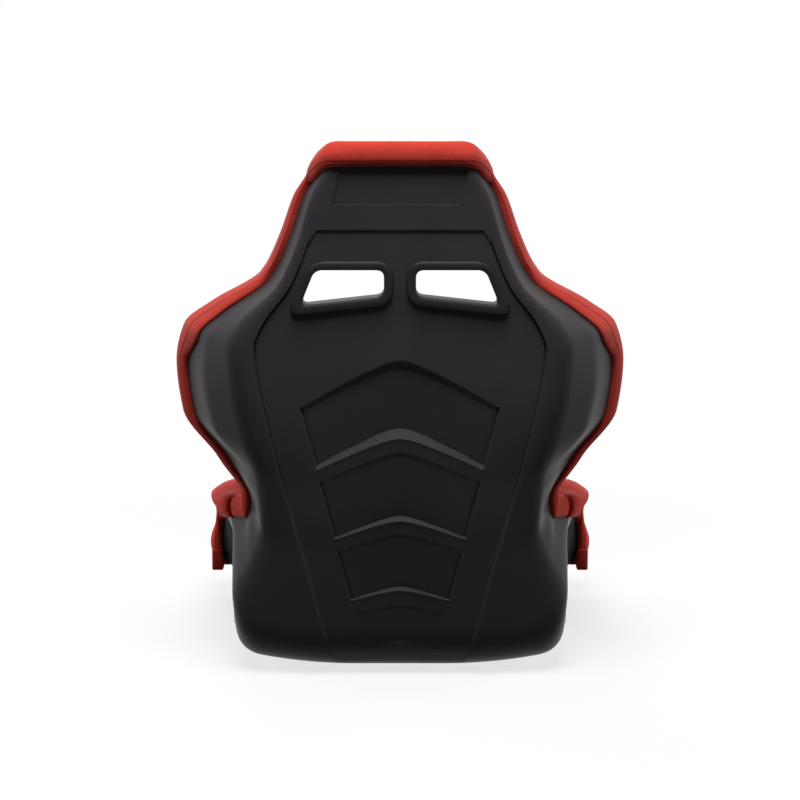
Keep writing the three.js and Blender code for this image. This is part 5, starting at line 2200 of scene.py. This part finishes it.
@dataclass(frozen=True)
class Cushion:
    """A loose cushion that hook strips hold to the lining."""

    name: str
    body: Body
    lean: float
    swell: float = 12.0
    side_swell: float = 1.5
    voxel: float = 0.005
    pressure: float = 4.0
    frames: int = 20
    padding: float = 0.6

    def lift(self) -> Vector:
        """Gives the direction in which the cushion comes off."""
        lean = math.radians(self.lean)
        return Vector((0, -math.cos(lean), math.sin(lean))) if self.lean else Vector(UPWARD)

    def swollen(self, piece: bpy.types.Object) -> None:
        """Swells the cushion by a cloth simulation, most of all away from the lining.

        Args:
            piece: The cushion's piece.
        """
        mesh = piece.data
        rest = np.array([v.co[:] for v in mesh.vertices])
        choose(piece)
        cloth = piece.modifiers.new("Cloth", "CLOTH")
        cloth.settings.use_pressure = True
        cloth.settings.uniform_pressure_force = self.pressure
        cloth.settings.effector_weights.gravity = 0
        cloth.point_cache.frame_start, cloth.point_cache.frame_end = 1, self.frames
        for step in range(1, self.frames + 1):
            bpy.context.scene.frame_set(step)
        bpy.ops.object.modifier_apply(modifier=cloth.name)
        bpy.context.scene.frame_set(1)
        moved = np.array([v.co[:] for v in mesh.vertices]) - rest
        up = np.array(self.lift())
        rise = moved @ up
        across = moved - rise[:, None] * up
        wide = np.linalg.norm(across, axis=1)
        across *= np.minimum(1, self.side_swell * MM / np.maximum(wide, NO_LENGTH))[:, None]
        rise = np.clip(rise, 0, None)
        rise = self.swell * MM * np.tanh(rise / (self.swell * MM))
        placed = rest + across + rise[:, None] * up
        mesh.vertices.foreach_set("co", placed.astype(np.float32).ravel())
        mesh.update()

    def build(self) -> bpy.types.Object:
        """Builds the cushion from its node.

        Returns:
            The finished piece.
        """
        source = frame["nodes"][self.name]
        choose(source)
        bpy.ops.object.duplicate()
        piece = bpy.context.active_object
        piece.parent = None
        piece.name = piece.data.name = self.name.replace("cushion", "squab")
        edit(piece, merge_doubles)
        apply_modifier(piece, "REMESH", mode="VOXEL", voxel_size=self.voxel)
        apply_modifier(piece, "SMOOTH", factor=0.5, iterations=6)
        self.swollen(piece)
        apply_modifier(piece, "SUBSURF", levels=1, render_levels=1)
        shade(piece, angle=60)
        dress(piece, Finishes.black_cloth)
        return mount_piece(piece, self.body, Slot.BLACK, [self.name], fill=self.padding)


CUSHIONS = (
    Cushion("seat_cushion", Body.SEAT_CUSHION, 0.0),
    Cushion("lumbar_cushion", Body.LUMBAR_CUSHION, 16.0, swell=9.0),
    Cushion("head_cushion", Body.HEAD_CUSHION, 9.0, swell=7.0, voxel=0.004),
)


# ---- Fittings ----


@dataclass(frozen=True)
class Fittings:
    """The slots' mouldings, the mounts' inserts and the frame's own plates and hook strips."""

    back_foam: float = 28.0
    wall_foam: float = 38.0
    panel_face: float = 3.0
    small_bead: float = 7.0
    crotch_bead_height: float = 4.0
    lap_bead_height: float = 4.5
    shoulder_bead_height: float = 6.0

    def mouldings(self, name: str, side: int) -> None:
        """Builds the mouldings of one side's belt slots.

        Args:
            name: The side's name.
            side: 1 on the left and -1 on the right.
        """
        shoulder, lap = SlotPlaces.shoulder(side), SlotPlaces.lap(side)
        high = self.shoulder_bead_height
        slots = {
            "shoulder": SlotTrim(shoulder, self.panel_face, self.back_foam, SHOULDER_BEAD, high),
            "lap": SlotTrim(lap, 0.0, self.wall_foam, self.small_bead, self.lap_bead_height),
        }
        for kind, trim in slots.items():
            trim.build(f"{kind}_slot_ring_{name}", TrimPart.OUTER, f"{kind}_slot_trim_{name}")
            trim.build(f"{kind}_slot_inner_ring_{name}", TrimPart.INNER, f"{kind}_slot_bezel_{name}")

    def build(self) -> None:
        """Builds the mouldings and inserts."""
        sizes = (0.0, self.back_foam, self.small_bead, self.crotch_bead_height)
        crotch = SlotTrim(SlotPlaces.crotch(), *sizes)
        crotch.build("crotch_slot_ring", TrimPart.CROTCH, "crotch_slot_trim")
        for name, side in SIDES.items():
            self.mouldings(name, side)
            for end, y in MOUNT_YS.items():
                Insert(side, y).build(f"insert_{end}_{name}", f"mount_insert_{end}_{name}")

    def carry_over(self) -> None:
        """Gives the frame's own plates and hook strips their finishes."""
        kinds = {"mount_plate": (Finishes.steel, Slot.STEEL), "hook_strip": (Finishes.hook_tape, Slot.HOOK)}
        for name, node in frame["nodes"].items():
            for kind, (finish, slot) in kinds.items():
                if kind in name:
                    dress(node, finish)
                    log.info("%s: carried over", name)


# ---- Studio ----


def seeing_rays(nodes: Nodes) -> bpy.types.NodeSocket:
    """Adds the mask of the rays that see the white background.

    Args:
        nodes: The node tree's builder.

    Returns:
        1 on camera, glossy and transmission rays, and 0 on the others.
    """
    path = nodes.add("LightPath")
    mirrored = nodes.math("MAXIMUM", path.outputs["Is Glossy Ray"], path.outputs["Is Transmission Ray"])
    return nodes.math("MAXIMUM", path.outputs["Is Camera Ray"], mirrored)


@dataclass(frozen=True)
class Lamp:
    """A soft area light that points at the seat."""

    name: str
    place: Place3
    energy: float
    size: float
    mirrored: bool = True
    aim: Place3 = (0.0, 0.12, 0.35)

    def build(self) -> None:
        """Adds the lamp to the scene."""
        data = bpy.data.lights.new(self.name, "AREA")
        data.energy, data.size = self.energy, self.size
        lamp = bpy.data.objects.new(self.name, data)
        bpy.context.scene.collection.objects.link(lamp)
        lamp.visible_glossy = self.mirrored
        lamp.location = self.place
        lamp.rotation_euler = (Vector(self.aim) - Vector(self.place)).to_track_quat("-Z", "Y").to_euler()


LAMPS = (
    Lamp("overhead", (0.0, 1.25, 2.25), 57.0, 0.9),
    Lamp("front", (0.5, -1.5, 2.2), 18.0, 1.2),
    Lamp("side_left", (1.5, -0.45, 0.4), 13.0, 0.8, mirrored=False),
    Lamp("side_right", (-1.5, -0.45, 0.4), 13.0, 0.8, mirrored=False),
)


@dataclass(frozen=True)
class Studio:
    """The pale floor, the white background, the lamps and the camera."""

    floor_size: float = 60.0
    floor_seen: float = 0.92
    floor_lit: float = 0.07
    floor_rough: float = 0.9
    floor_specular: float = 0.1
    shadow_share: float = 0.26
    fade: Place = (0.35, 1.1)
    dim: float = 0.02
    target: Place3 = (0.0, 0.167, 0.370)
    elevation: float = 10.0
    distance: float = 2.85
    focal_pixels: float = 2136.0
    picture_pixels: float = 800.0
    sensor: float = 36.0

    def floor_material(self) -> bpy.types.Material:
        """Makes the floor's material, which fades to white away from the seat.

        Returns:
            A pale surface that mixes with a white glow for the rays that see the background.
        """
        material = bpy.data.materials.new("PaleFloor")
        material.use_nodes = True
        tree = material.node_tree
        nodes = Nodes(tree)
        shader = tree.nodes["Principled BSDF"]
        shader.inputs["Roughness"].default_value = self.floor_rough
        shader.inputs["Specular IOR Level"].default_value = self.floor_specular
        glow = nodes.add("Emission")
        rays = seeing_rays(nodes)
        seen = nodes.blend(rays, (*[self.floor_lit] * 3, 1), (*[self.floor_seen] * 3, 1))
        nodes.link(seen, shader.inputs["Base Color"])
        reach = nodes.add("VectorMath", operation="LENGTH")
        nodes.link(nodes.add("TexCoord").outputs["Object"], reach.inputs[0])
        fade = nodes.ramp(reach.outputs["Value"], *self.fade)
        share = nodes.math("MULTIPLY", fade, self.shadow_share)
        share = nodes.math("ADD", 1 - self.shadow_share, share)
        mixer = nodes.add("MixShader")
        nodes.link(nodes.math("MULTIPLY", rays, share), mixer.inputs[0])
        nodes.link(shader.outputs[0], mixer.inputs[1])
        nodes.link(glow.outputs[0], mixer.inputs[2])
        nodes.link(mixer.outputs[0], tree.nodes["Material Output"].inputs["Surface"])
        return material

    def floor(self) -> None:
        """Makes the floor."""
        deselect()
        bpy.ops.mesh.primitive_plane_add(size=self.floor_size)
        floor = bpy.context.active_object
        floor.name = "floor"
        floor.data.materials.append(self.floor_material())

    def background(self) -> None:
        """Makes the world: white for the rays that see the background, dim for the others."""
        world = bpy.data.worlds.new("Studio")
        bpy.context.scene.world = world
        world.use_nodes = True
        nodes = Nodes(world.node_tree)
        back = world.node_tree.nodes["Background"]
        back.inputs["Color"].default_value = (1, 1, 1, 1)
        nodes.link(nodes.math("MAXIMUM", seeing_rays(nodes), self.dim), back.inputs["Strength"])

    def camera(self) -> None:
        """Sets the camera at the photograph's viewing angle."""
        elevation = math.radians(self.elevation)
        data = bpy.data.cameras.new("camera")
        data.lens = self.focal_pixels / self.picture_pixels * self.sensor
        data.sensor_width = self.sensor
        view = bpy.data.objects.new("camera", data)
        bpy.context.scene.collection.objects.link(view)
        back = Vector((0, math.cos(elevation), math.sin(elevation)))
        view.location = Vector(self.target) + back * self.distance
        view.rotation_euler = (-back).to_track_quat("-Z", "Y").to_euler()
        bpy.context.scene.camera = view

    def build(self) -> None:
        """Builds the studio."""
        self.camera()
        self.floor()
        self.background()
        for lamp in LAMPS:
            lamp.build()


def main() -> None:
    """Builds and dresses the seat."""
    logging.basicConfig(level=logging.INFO, format="%(name)s %(message)s")
    bpy.context.scene.view_settings.view_transform = "Standard"
    Studio().build()
    Shell().build()
    Covers().build()
    fittings = Fittings()
    fittings.build()
    Pads().build()
    for cushion in CUSHIONS:
        cushion.build()
    fittings.carry_over()


if __name__ == "__main__":
    main()
